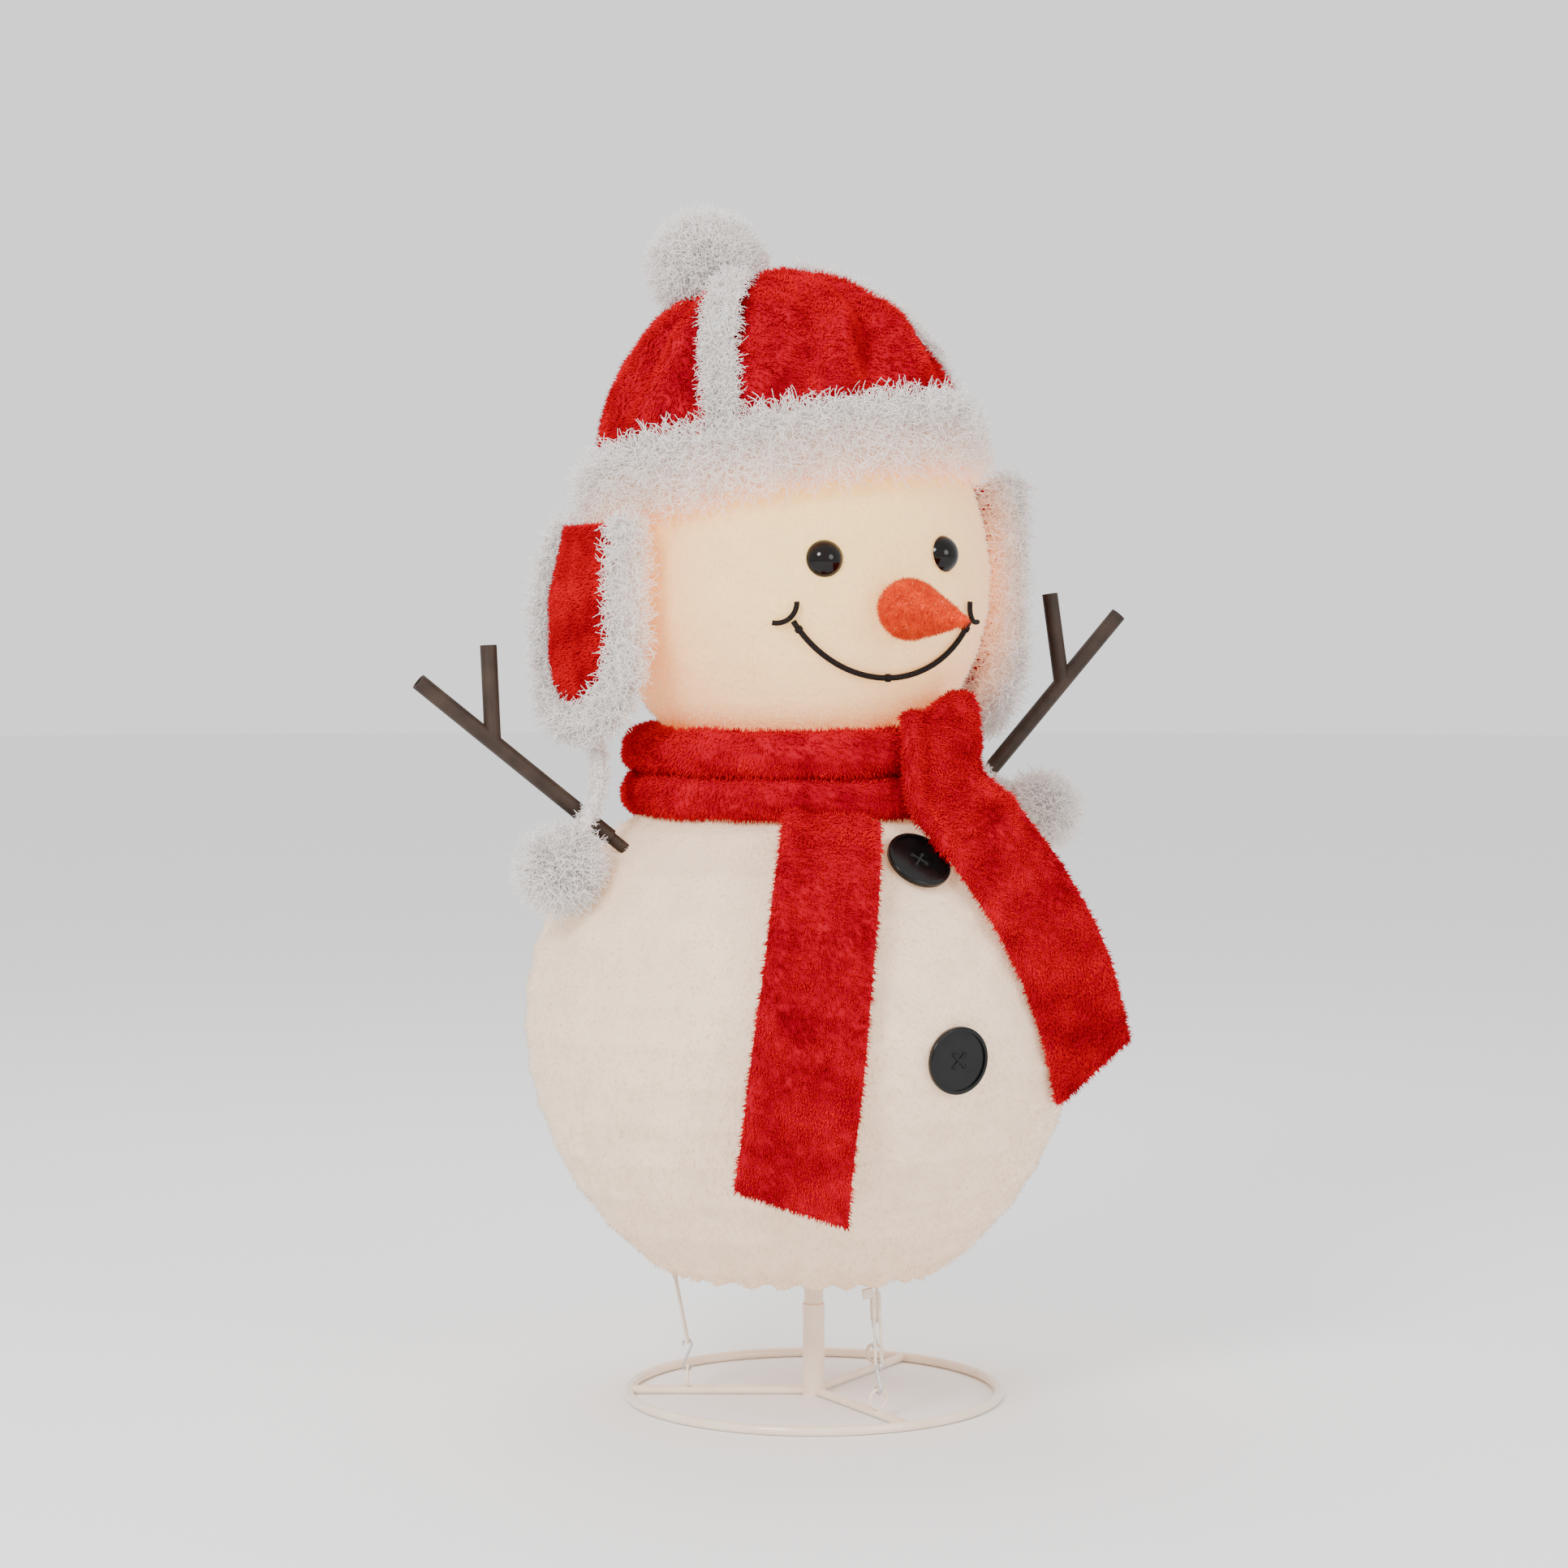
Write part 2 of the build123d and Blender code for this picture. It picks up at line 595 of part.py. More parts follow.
# ---- arms ---------------------------------------------------------------------------------
flange_radius, flange_depth, flange_thickness = 8.0, 14.0, 2.0
peg_grip, tube_mouth, tip_mouth = 12.0, 14.0, 10.0
for side, (plane, peg) in arm_roots.items():
    with BuildPart() as arm_peg:
        with BuildSketch(plane.offset(-flange_depth)):
            Circle(peg_radius)
        extrude(amount=flange_depth + peg + peg_grip)
        with BuildSketch(plane.offset(-flange_depth)):
            Circle(flange_radius)
        extrude(amount=flange_thickness)
    save(arm_peg, f"arm_peg_{side}")

    with BuildPart() as arm:
        with BuildSketch(plane.offset(peg)):
            Circle(arm_radius)
        extrude(amount=arm_length)
        fork = plane.origin + plane.z_dir * (peg + arm_length - twig_from_tip)
        lean = radians(twig_angle)
        twig_plane = Plane(origin=fork, z_dir=plane.z_dir * cos(lean) + plane.x_dir * sin(lean))
        with BuildSketch(twig_plane):
            Circle(arm_radius)
        extrude(amount=twig_length)
        with BuildSketch(plane.offset(peg)):
            Circle(arm_bore)
        extrude(amount=tube_mouth, mode=Mode.SUBTRACT)
        with BuildSketch(plane.offset(peg + arm_length - tip_mouth)):
            Circle(arm_bore)
        extrude(amount=tip_mouth, mode=Mode.SUBTRACT)
        with BuildSketch(twig_plane.offset(twig_length - tip_mouth)):
            Circle(arm_bore)
        extrude(amount=tip_mouth, mode=Mode.SUBTRACT)
    save(arm, f"arm_{side}")

# ---- scarf --------------------------------------------------------------------------------
neck_profile = Plane(origin=belly_centre, x_dir=(1, 0, 0), z_dir=(0, -1, 0))
neck_axis = Axis(belly_centre, (0, 0, 1))
with BuildPart() as scarf_band:
    with BuildSketch(neck_profile):
        for height in band_heights:
            with Locations((band_middle, height)):
                Circle(band_roll)
    revolve(axis=neck_axis)
    add(belly_core.part, mode=Mode.SUBTRACT)
    add(head_core.part, mode=Mode.SUBTRACT)
save(scarf_band, "scarf_band")

with BuildPart() as scarf_knot:
    inner, outer = band_middle + band_roll + gap, band_middle + band_roll + 14
    with BuildSketch(
        Plane(origin=belly_centre, x_dir=outward(knot_azimuths[0]), z_dir=tangent(knot_azimuths[0]) * -1)
    ) as knot_section:
        with Locations(((inner + outer) / 2, sum(knot_heights) / 2)):
            RectangleRounded(outer - inner, knot_heights[1] - knot_heights[0], 6)
    revolve(axis=neck_axis, revolution_arc=knot_azimuths[1] - knot_azimuths[0])
save(scarf_knot, "scarf_knot")


def ribbon(path, across, width):
    """A strip of plush along a path, its width lying along across."""
    with BuildSketch(Plane(origin=path @ 0, x_dir=across, z_dir=path % 0)) as section:
        Rectangle(width, tail_thickness)
    sweep(section.sketch, path=path)


front_tail_azimuth, front_tail_slant = -27.5, radians(-6.6)
front_tail_rise = Vector(0, 0, sin(front_tail_slant))
front_tail_across = tangent(front_tail_azimuth) * cos(front_tail_slant) + front_tail_rise
front_tail_plane = Plane(
    origin=around(belly_centre, front_tail_azimuth, 0, 300),
    x_dir=outward(front_tail_azimuth),
    z_dir=front_tail_across * -1,
)
with BuildPart() as scarf_tail_front:
    with BuildLine(front_tail_plane) as fall:
        over = ThreePointArc((150, 159), (208, 85), (225, -10))
        TangentArc(over @ 1, (220, -119), tangent=over % 1)
    ribbon(fall.wires()[0], front_tail_across, front_tail_width)
save(scarf_tail_front, "scarf_tail_front")

side_tail_across = Vector(0.909, -0.122, 0.399)
with BuildPart() as scarf_tail_side:
    with BuildLine() as fall:
        ThreePointArc(
            around(belly_centre, 17.3, 176, 458),
            around(belly_centre, 24.1, 230, 364),
            around(belly_centre, 38.8, 235, 264),
        )
    ribbon(fall.wires()[0], side_tail_across, side_tail_width)
save(scarf_tail_side, "scarf_tail_side")

# ---- hat ----------------------------------------------------------------------------------
with BuildPart() as hat_brim:
    with BuildSketch(crown.profile):
        with Locations((brim_middle, 0)):
            RectangleRounded(2 * brim_half_width, 2 * brim_half_height, 12)
    revolve(axis=crown.axis)
    add(head_core.part, mode=Mode.SUBTRACT)
save(hat_brim, "hat_brim")

with BuildPart() as hat_crown:
    crown.shell(0, -cloth)
    crown.panels(head_gores, crown_tiers)
save(hat_crown, "hat_crown")

with BuildPart() as hat_strips:
    crown.shell(strip_thickness + gap, gap)
    with BuildSketch(hat_frame):
        for azimuth in strip_azimuths:
            Rectangle(
                crown_radius + 10, strip_width, align=(Align.MIN, Align.CENTER), rotation=azimuth - 90
            )
    extrude(amount=crown_base + crown_height + 10, mode=Mode.INTERSECT)
save(hat_strips, "hat_strips")

with BuildPart() as hat_pompom:
    with Locations(pompom_centre):
        Sphere(pompom_radius)
    add(crown_core.part, mode=Mode.SUBTRACT)
save(hat_pompom, "hat_pompom")

brim_underside = hat_frame.offset(-brim_half_height - 1)
low, top, middle = flap_low, flap_top, flap_low + flap_half_width
for side, azimuth in flap_azimuths.items():
    flap_middle = flap_radii[side]
    face = Plane(origin=head_centre, x_dir=tangent(azimuth), z_dir=outward(azimuth))
    section = Plane(origin=head_centre, x_dir=outward(azimuth - 40), z_dir=tangent(azimuth - 40) * -1)
    with BuildPart() as panel:
        with BuildSketch(section):
            with Locations((flap_middle, (low + top) / 2)):
                Rectangle(2 * flap_panel, top - low + 80)
        revolve(axis=Axis(head_centre, (0, 0, 1)), revolution_arc=80)
        with BuildSketch(face) as outline:
            with Locations((0, middle)):
                Circle(flap_half_width)
                Rectangle(2 * flap_half_width, top - middle, align=(Align.CENTER, Align.MIN))
        extrude(amount=2 * flap_middle, mode=Mode.INTERSECT)
        with BuildSketch(brim_underside):
            Circle(2 * flap_middle)
        extrude(amount=flap_top, mode=Mode.SUBTRACT)
    save(panel, f"ear_flap_{side}")
    with BuildPart() as trim:
        with BuildSketch(section):
            with Locations((flap_middle, (low + top) / 2)):
                RectangleRounded(2 * flap_trim_half, top - low + 80, 8)
        revolve(axis=Axis(head_centre, (0, 0, 1)), revolution_arc=80)
        with BuildSketch(face):
            with Locations((0, middle)):
                Circle(flap_half_width + flap_trim_width)
                Rectangle(
                    2 * (flap_half_width + flap_trim_width), top - middle, align=(Align.CENTER, Align.MIN)
                )
                Circle(flap_half_width, mode=Mode.SUBTRACT)
                Rectangle(
                    2 * flap_half_width, top - middle, align=(Align.CENTER, Align.MIN), mode=Mode.SUBTRACT
                )
        extrude(amount=2 * flap_middle, mode=Mode.INTERSECT)
        with BuildSketch(brim_underside):
            Circle(2 * flap_middle)
        extrude(amount=flap_top, mode=Mode.SUBTRACT)
    save(trim, f"ear_flap_trim_{side}")


def easy_radii(points):
    """The largest bend that each corner of a route has room for."""
    radii = []
    for before, corner, after in zip(points, points[1:], points[2:]):
        turn = (corner - before).get_angle(after - corner)
        shorter = min((corner - before).length, (after - corner).length)
        radii.append(0.45 * shorter / tan(radians(turn / 2)))
    return radii


for side, route in tassel_routes.items():
    points = [Vector(*point) for point in route]
    radii = easy_radii(points)
    print(side, "tassel cord bends, mm:", [round(radius) for radius in radii])
    with BuildPart() as tassel_cord:
        with BuildLine() as hang:
            FilletPolyline(*points, radius=radii)
        swept(hang.wires()[0], tassel_cord_radius)
    print(side, "tassel cord length, mm:", round(hang.wires()[0].length, 1))
    save(tassel_cord, f"tassel_cord_{side}")
    ball_centre = points[-1] + (points[-1] - points[-2]).normalized() * (tassel_ball[side] + gap / 2)
    ball = tassel_ball[side]
    rest_azimuth, rest_height = belly.nearest(ball_centre)
    rest_normal = belly.normal(rest_azimuth, rest_height)
    # it lies on the belly with a flat
    reach = (ball_centre - belly.surface(rest_azimuth, rest_height)).dot(rest_normal) - 2 * gap
    flat_depth = min(reach, 0.97 * ball)
    flat_radius = sqrt(ball**2 - flat_depth**2)
    across = tangent(rest_azimuth)
    with BuildPart() as tassel_pompom:
        with BuildSketch(Plane(origin=ball_centre, x_dir=across, z_dir=across.cross(rest_normal))):
            with BuildLine():
                Polyline((0, ball), (0, -flat_depth), (flat_radius, -flat_depth))
                ThreePointArc((flat_radius, -flat_depth), (ball, 0), (0, ball))
            make_face()
        revolve(axis=Axis(ball_centre, rest_normal))
    save(tassel_pompom, f"tassel_pompom_{side}")
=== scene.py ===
"""Looks of the pop-up yard snowman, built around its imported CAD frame. Metres, +Z up, front towards -Y."""

from math import asin, cos, pi, radians, sin

import bpy
import numpy as np
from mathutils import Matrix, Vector, noise


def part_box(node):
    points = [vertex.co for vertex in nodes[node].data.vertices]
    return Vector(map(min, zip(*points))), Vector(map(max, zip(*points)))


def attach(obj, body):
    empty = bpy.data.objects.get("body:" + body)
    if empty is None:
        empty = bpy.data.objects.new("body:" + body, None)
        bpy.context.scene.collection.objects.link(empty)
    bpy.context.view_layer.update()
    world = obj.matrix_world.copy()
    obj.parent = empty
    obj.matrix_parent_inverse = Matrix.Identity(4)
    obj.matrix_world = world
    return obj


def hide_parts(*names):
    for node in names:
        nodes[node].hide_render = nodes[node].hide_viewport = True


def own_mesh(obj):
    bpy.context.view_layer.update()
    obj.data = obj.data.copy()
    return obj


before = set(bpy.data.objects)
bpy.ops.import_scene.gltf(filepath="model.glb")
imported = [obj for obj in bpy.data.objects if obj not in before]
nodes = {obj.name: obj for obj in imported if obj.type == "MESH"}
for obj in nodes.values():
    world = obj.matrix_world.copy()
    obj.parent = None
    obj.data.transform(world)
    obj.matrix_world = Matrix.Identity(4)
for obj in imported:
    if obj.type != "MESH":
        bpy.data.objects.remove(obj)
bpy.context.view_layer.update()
rng = np.random.default_rng(11)

# ---- levels at which the body folds down ---------------------------------------------------
hem_level, plate_level = 0.100, 0.785
neck_level = 0.487
flap_levels = {"left": 0.665, "right": 0.698}


# ---- small geometry helpers ----------------------------------------------------------------
def outward(azimuth, rise=0.0):
    """Unit vectors away from the axis, at azimuths from the front towards +X, in degrees."""
    azimuth, rise = np.broadcast_arrays(np.radians(azimuth), np.radians(rise))
    flat = np.cos(rise)
    return np.stack([np.sin(azimuth) * flat, -np.cos(azimuth) * flat, np.sin(rise)], -1)


def tangent(azimuth):
    """Level unit vectors round the axis, towards growing azimuths."""
    azimuth = np.radians(azimuth)
    return np.stack([np.cos(azimuth), np.sin(azimuth), np.zeros_like(azimuth)], -1)


def unit(vectors):
    return vectors / np.maximum(np.linalg.norm(vectors, axis=-1, keepdims=True), 1e-12)


def bump(distance, width):
    """A smooth hill, 1 at no distance and next to nothing beyond two widths."""
    return np.exp(-((distance / width) ** 2))


def ripple(points, size, seed=0.0):
    """Smooth noise from -1 to 1 at each point, with features of about that size."""
    shape = points.shape[:-1]
    moved = points.reshape(-1, 3) / size + seed
    return np.array([noise.noise(Vector(p)) for p in moved]).reshape(shape)


def turned(vectors, axes, angles):
    """Vectors turned about unit axes."""
    c, s = np.cos(angles)[:, None], np.sin(angles)[:, None]
    along = (vectors * axes).sum(1, keepdims=True)
    return vectors * c + np.cross(axes, vectors) * s + axes * along * (1 - c)


class Egg:
    """Two half ellipsoids that meet where the body is widest. Heights run along its axis."""

    def __init__(self, origin, axis, radius, widest, low, high):
        z = unit(np.array(axis, float))
        x = unit(np.array([z[2], 0.0, -z[0]]))
        self.turn = np.stack([x, np.cross(z, x), z])
        self.origin = np.array(origin, float)
        self.radius, self.widest, self.low, self.high = radius, widest, low, high

    def half(self, height):
        return np.where(height > self.widest, self.high, self.low)

    def radius_at(self, height):
        share = (height - self.widest) / self.half(height)
        return self.radius * np.sqrt(np.clip(1 - share**2, 0, 1))

    def normal(self, azimuth, height):
        along = (height - self.widest) / self.half(height) ** 2
        flat = self.radius_at(height) / self.radius**2
        return outward(azimuth, np.degrees(np.arctan2(along, flat))) @ self.turn

    def point(self, azimuth, height, grow=0.0):
        azimuth, height = np.broadcast_arrays(azimuth, height)
        local = outward(azimuth) * self.radius_at(height)[..., None]
        local = local + np.stack([0 * height, 0 * height, height], -1)
        grow = np.asarray(grow)[..., None]
        return local @ self.turn + self.origin + self.normal(azimuth, height) * grow

    def clear(self, points, gap):
        """Points, those inside the body grown by gap moved out to it."""
        local = (points - self.origin) @ self.turn.T
        local[..., 2] -= self.widest
        half = self.half(local[..., 2] + self.widest) + gap
        reach = np.hypot(*np.moveaxis(local[..., :2], -1, 0)) / (self.radius + gap)
        size = np.sqrt(reach**2 + (local[..., 2] / half) ** 2)
        local = local / np.clip(size, 1e-6, 1)[..., None]
        local[..., 2] += self.widest
        return local @ self.turn + self.origin


belly_low_corner, belly_high_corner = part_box("belly_cover")
head_low_corner, head_high_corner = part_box("head_cover")
belly_middle = (belly_low_corner + belly_high_corner) / 2
head_middle = (head_low_corner + head_high_corner) / 2
UP = (0, 0, 1)
belly = Egg((belly_middle.x, belly_middle.y, 0), UP, 0.213, 0.300, 0.228, 0.190)
head = Egg((head_middle.x, head_middle.y, 0), UP, 0.146, 0.630, 0.155, 0.168)
hat_lean = (-0.105, 0.158, 1.0)
hat_shift = (-0.0104, 0.0060)
hat_foot = (head_middle.x + hat_shift[0], head_middle.y + hat_shift[1], 0.716)
crown_widest, crown_rise = 0.019, 0.131
crown = Egg(hat_foot, hat_lean, 0.140, crown_widest, crown_rise, crown_rise)
plush_thickness = 0.0022


# ---- materials -------------------------------------------------------------------------------
def plain(name, colour, roughness, **sockets):
    """A Principled material with constants on its sockets, and its node tree."""
    made = bpy.data.materials.new(name)
    made.use_nodes = True
    shader = made.node_tree.nodes["Principled BSDF"]
    shader.inputs["Base Color"].default_value = (*colour, 1)
    shader.inputs["Roughness"].default_value = roughness
    for socket, value in sockets.items():
        shader.inputs[socket.replace("_", " ")].default_value = value
    return made


def node(made, kind, **values):
    found = made.node_tree.nodes.new(kind)
    for name, value in values.items():
        if name in found.bl_rna.properties:
            setattr(found, name, value)
        else:
            found.inputs[name.replace("_", " ")].default_value = value
    return found


def join(made, output, target):
    made.node_tree.links.new(output, target)


def grain(made, size, detail=3.0, coordinate="Object", **values):
    """Noise over the material, with features of about size metres."""
    place = node(made, "ShaderNodeTexCoord")
    texture = node(made, "ShaderNodeTexNoise", Scale=1 / size, Detail=detail, **values)
    join(made, place.outputs[coordinate], texture.inputs["Vector"])
    return texture.outputs["Fac"]


def ramp(made, value, stops):
    """Colours along a value, from a list of (place, colour)."""
    found = node(made, "ShaderNodeValToRGB")
    elements = found.color_ramp.elements
    while len(elements) < len(stops):
        elements.new(0.5)
    for element, (place, colour) in zip(elements, stops):
        element.position, element.color = place, (*colour, 1)
    join(made, value, found.inputs["Fac"])
    return found.outputs["Color"]


def colour_from(made, value, stops):
    join(made, ramp(made, value, stops), made.node_tree.nodes["Principled BSDF"].inputs["Base Color"])


def relief(made, value, depth):
    """Bump of about depth metres from a value."""
    found = node(made, "ShaderNodeBump", Strength=1.0, Distance=depth)
    join(made, value, found.inputs["Height"])
    join(made, found.outputs["Normal"], made.node_tree.nodes["Principled BSDF"].inputs["Normal"])


def shade(colour, factor):
    return tuple(min(1.0, c * factor) for c in colour)


def cloth(name, colour, size, depth, spread=0.25, **sockets):
    """A matt fibrous material whose colour wanders a little."""
    made = plain(name, colour, 0.95, **sockets)
    darker, lighter = shade(colour, 1 - spread), shade(colour, 1 + spread / 2)
    colour_from(made, grain(made, size * 6, 4.0), [(0.3, darker), (0.7, lighter)])
    relief(made, grain(made, size, 4.0), depth)
    return made


def height_share(made, low, high):
    """0 at one height and 1 at another."""
    place = node(made, "ShaderNodeTexCoord")
    apart = node(made, "ShaderNodeSeparateXYZ")
    scale = node(made, "ShaderNodeMapRange", clamp=True)
    scale.inputs["From Min"].default_value = low
    scale.inputs["From Max"].default_value = high
    join(made, place.outputs["Object"], apart.inputs["Vector"])
    join(made, apart.outputs["Z"], scale.inputs["Value"])
    return scale.outputs["Result"]


def glow(made, value, stops, strength):
    """Light from inside, its colour from a value."""
    shader = made.node_tree.nodes["Principled BSDF"]
    join(made, ramp(made, value, stops), shader.inputs["Emission Color"])
    shader.inputs["Emission Strength"].default_value = strength


RED, FUR = (0.40, 0.0, 0.014), (0.86, 0.81, 0.77)
# Colours of the lamp light: glowing in the bulbs, and painted as glow on the plush and fur.
PEACH, LAMP, AMBER = (1.0, 0.46, 0.18), (1.0, 0.55, 0.10), (1.0, 0.22, 0.02)


def distance_from(made, place, low, high):
    """0 within one distance of a place and 1 beyond another."""
    spot = node(made, "ShaderNodeTexCoord")
    away = node(made, "ShaderNodeVectorMath", operation="DISTANCE")
    away.inputs[1].default_value = place
    scale = node(made, "ShaderNodeMapRange", clamp=True)
    scale.inputs["From Min"].default_value = low
    scale.inputs["From Max"].default_value = high
    join(made, spot.outputs["Object"], away.inputs[0])
    join(made, away.outputs["Value"], scale.inputs["Value"])
    return scale.outputs["Result"]


# Painted light: the belly's white plush is painted peach for the lamps shining through it, and its emission
# glow is painted lamp light, peach at the hem and the neck and paler between.
belly_plush = cloth("belly_plush", (0.82, 0.64, 0.47), 0.004, 0.0014, 0.10,
                    Sheen_Weight=0.2, Sheen_Roughness=0.6)
glow(belly_plush, height_share(belly_plush, 0.10, 0.47),
     [(0.0, PEACH), (0.6, (1.0, 0.58, 0.30)), (1.0, PEACH)], 0.42)
# Painted light: the head's white plush is painted orange for the lamp inside it, and its emission glow is a
# painted pool of lamp light, brightest on the upper left of the face and going amber towards the edges.
head_plush = cloth("head_plush", (0.78, 0.56, 0.28), 0.004, 0.0010, 0.06,
                   Sheen_Weight=0.2, Sheen_Roughness=0.6)
glow(head_plush, distance_from(head_plush, (-0.05, -0.125, 0.67), 0.03, 0.17),
     [(0.0, LAMP), (0.45, (1.0, 0.48, 0.12)), (0.75, (1.0, 0.36, 0.08)), (1.0, AMBER)], 0.95)
red_plush = cloth("red_plush", RED, 0.003, 0.0015, 0.35,
                  Sheen_Weight=0.1, Sheen_Roughness=0.4, Specular_IOR_Level=0.0)
red_plush.node_tree.nodes["Principled BSDF"].inputs["Sheen Tint"].default_value = (1.0, 0.0, 0.03, 1)
red_pile = plain("red_pile", (0.55, 0.0, 0.012), 0.9, Specular_IOR_Level=0.0)
colour_from(red_pile, grain(red_pile, 0.03), [(0.3, (0.38, 0.0, 0.008)), (0.7, (0.74, 0.0, 0.014))])
# Painted shade: the fur's core is painted darker than its hairs, for the shade under the pile.
fur_base = cloth("fur_base", shade(FUR, 0.86), 0.006, 0.0030, 0.12, Sheen_Weight=0.3)
fur_pile = plain("fur_pile", FUR, 0.45, Sheen_Weight=0.2, Specular_IOR_Level=0.7)
colour_from(fur_pile, grain(fur_pile, 0.02, 6.0),
            [(0.25, (0.72, 0.66, 0.62)), (0.5, FUR), (0.8, (0.93, 0.89, 0.85))])
# Painted light: the fur glows orange as emission where it is close to the lit head, and a faint grey glow
# lifts the rest of it.
for fur in (fur_base, fur_pile):
    glow(fur, distance_from(fur, (-0.012, -0.004, 0.625), 0.150, 0.188),
         [(0.0, (1.0, 0.28, 0.06)), (0.5, (0.42, 0.20, 0.11)), (1.0, (0.10, 0.09, 0.09))], 0.8)
# Painted light: the white pile is painted warm for the lamps inside, and glows as emission, dim brown on the
# belly and rising through peach to lamp orange up the head.
white_pile = plain("white_pile", (0.82, 0.70, 0.56), 0.9)
colour_from(white_pile, grain(white_pile, 0.05), [(0.3, (0.80, 0.66, 0.52)), (0.7, (0.88, 0.77, 0.64))])
glow(white_pile, height_share(white_pile, 0.47, 0.70),
     [(0.0, (0.45, 0.27, 0.14)), (0.4, PEACH), (1.0, LAMP)], 0.6)
tinsel = plain("tinsel", (0.60, 0.03, 0.0), 0.6, Specular_IOR_Level=0.2)
colour_from(tinsel, grain(tinsel, 0.006), [(0.3, (0.52, 0.015, 0.0)), (0.7, (0.90, 0.07, 0.0))])
# Painted light: a faint red emission glow on the nose's tinsel, which holds no lamp.
glow(tinsel, grain(tinsel, 0.01), [(0.0, (1.0, 0.05, 0.0)), (1.0, (1.0, 0.08, 0.0))], 0.15)
glitter = plain("glitter", (1.0, 0.62, 0.42), 0.12, Metallic=0.8)
cream_paint = plain("cream_paint", (0.88, 0.72, 0.56), 0.22, Coat_Weight=0.6, Coat_Roughness=0.08)
colour_from(cream_paint, grain(cream_paint, 0.03), [(0.3, (0.84, 0.67, 0.51)), (0.7, (0.92, 0.77, 0.62))])
relief(cream_paint, grain(cream_paint, 0.004), 0.0001)
brown_plastic = plain("brown_plastic", (0.035, 0.019, 0.012), 0.55, Specular_IOR_Level=0.25)
colour_from(brown_plastic, grain(brown_plastic, 0.02, 5.0),
            [(0.3, (0.022, 0.012, 0.008)), (0.75, (0.048, 0.028, 0.018))])
relief(brown_plastic, grain(brown_plastic, 0.0015), 0.00015)
black_plastic = plain("black_plastic", (0.004, 0.004, 0.004), 0.25,
                      Specular_IOR_Level=0.2, Coat_Weight=0.12, Coat_Roughness=0.05)
colour_from(black_plastic, grain(black_plastic, 0.01),
            [(0.3, (0.002, 0.002, 0.002)), (0.7, (0.005, 0.005, 0.005))])
relief(black_plastic, grain(black_plastic, 0.003), 0.00006)
eye_plastic = plain("eye_plastic", (0.003, 0.002, 0.002), 0.08, Specular_IOR_Level=0.25)
colour_from(eye_plastic, grain(eye_plastic, 0.01),
            [(0.3, (0.001, 0.001, 0.001)), (0.7, (0.006, 0.003, 0.002))])
black_wire = plain("black_wire", (0.008, 0.004, 0.003), 0.7, Specular_IOR_Level=0.15)
colour_from(black_wire, grain(black_wire, 0.002),
            [(0.3, (0.004, 0.002, 0.002)), (0.7, (0.014, 0.008, 0.006))])
relief(black_wire, grain(black_wire, 0.0012), 0.0005)
black_thread = cloth("black_thread", (0.006, 0.005, 0.005), 0.0006, 0.0003)
steel = plain("steel", (0.62, 0.62, 0.64), 0.25, Metallic=1.0)
colour_from(steel, grain(steel, 0.002), [(0.3, (0.50, 0.50, 0.52)), (0.7, (0.72, 0.72, 0.74))])
elastic = cloth("elastic", (0.80, 0.70, 0.58), 0.0012, 0.0005, 0.15, Sheen_Weight=0.2)
coated_wire = plain("coated_wire", (0.80, 0.78, 0.75), 0.35)
colour_from(coated_wire, grain(coated_wire, 0.01), [(0.3, (0.74, 0.72, 0.69)), (0.7, (0.84, 0.82, 0.79))])
white_plastic = plain("white_plastic", (0.82, 0.80, 0.77), 0.4)
colour_from(white_plastic, grain(white_plastic, 0.01), [(0.3, (0.78, 0.76, 0.73)), (0.7, (0.85, 0.83, 0.80))])
lamp_glass = plain("lamp_glass", (1.0, 0.86, 0.62), 0.1, Emission_Strength=4.0)
glow(lamp_glass, grain(lamp_glass, 0.01), [(0.0, LAMP), (1.0, PEACH)], 4.0)
floor_paint = plain("floor_paint", (0.90, 0.90, 0.90), 0.7)

node_looks = {
    cream_paint: ("base_ring", "hub_boss", "base_spoke_front", "base_spoke_right", "base_spoke_left",
                  "tie_eyes", "base_sleeve", "pole_lower", "pole_upper"),
    coated_wire: ("belly_spiral", "head_spiral", "hem_ring", "neck_ring", "light_lead_belly",
                  "light_lead_head"),
    steel: ("s_hooks",),
    elastic: ("elastic_loop_front", "elastic_loop_right", "elastic_loop_left"),
    white_plastic: ("lock_collar", "pole_cap", "top_plate", "eye_washers", "lamp_holders_belly",
                    "lamp_holders_head"),
    black_plastic: ("button_upper", "button_lower"),
    eye_plastic: ("eye_left", "eye_right"),
    black_wire: ("mouth_wire", "mouth_corners", "mouth_ties"),
    black_thread: ("button_thread_upper", "button_thread_lower"),
    brown_plastic: ("arm_left", "arm_right", "arm_peg_left", "arm_peg_right"),
    lamp_glass: ("lamp_bulbs_belly", "lamp_bulbs_head"),
}
for look, names in node_looks.items():
    for name in names:
        nodes[name].data.materials.clear()
        nodes[name].data.materials.append(look)


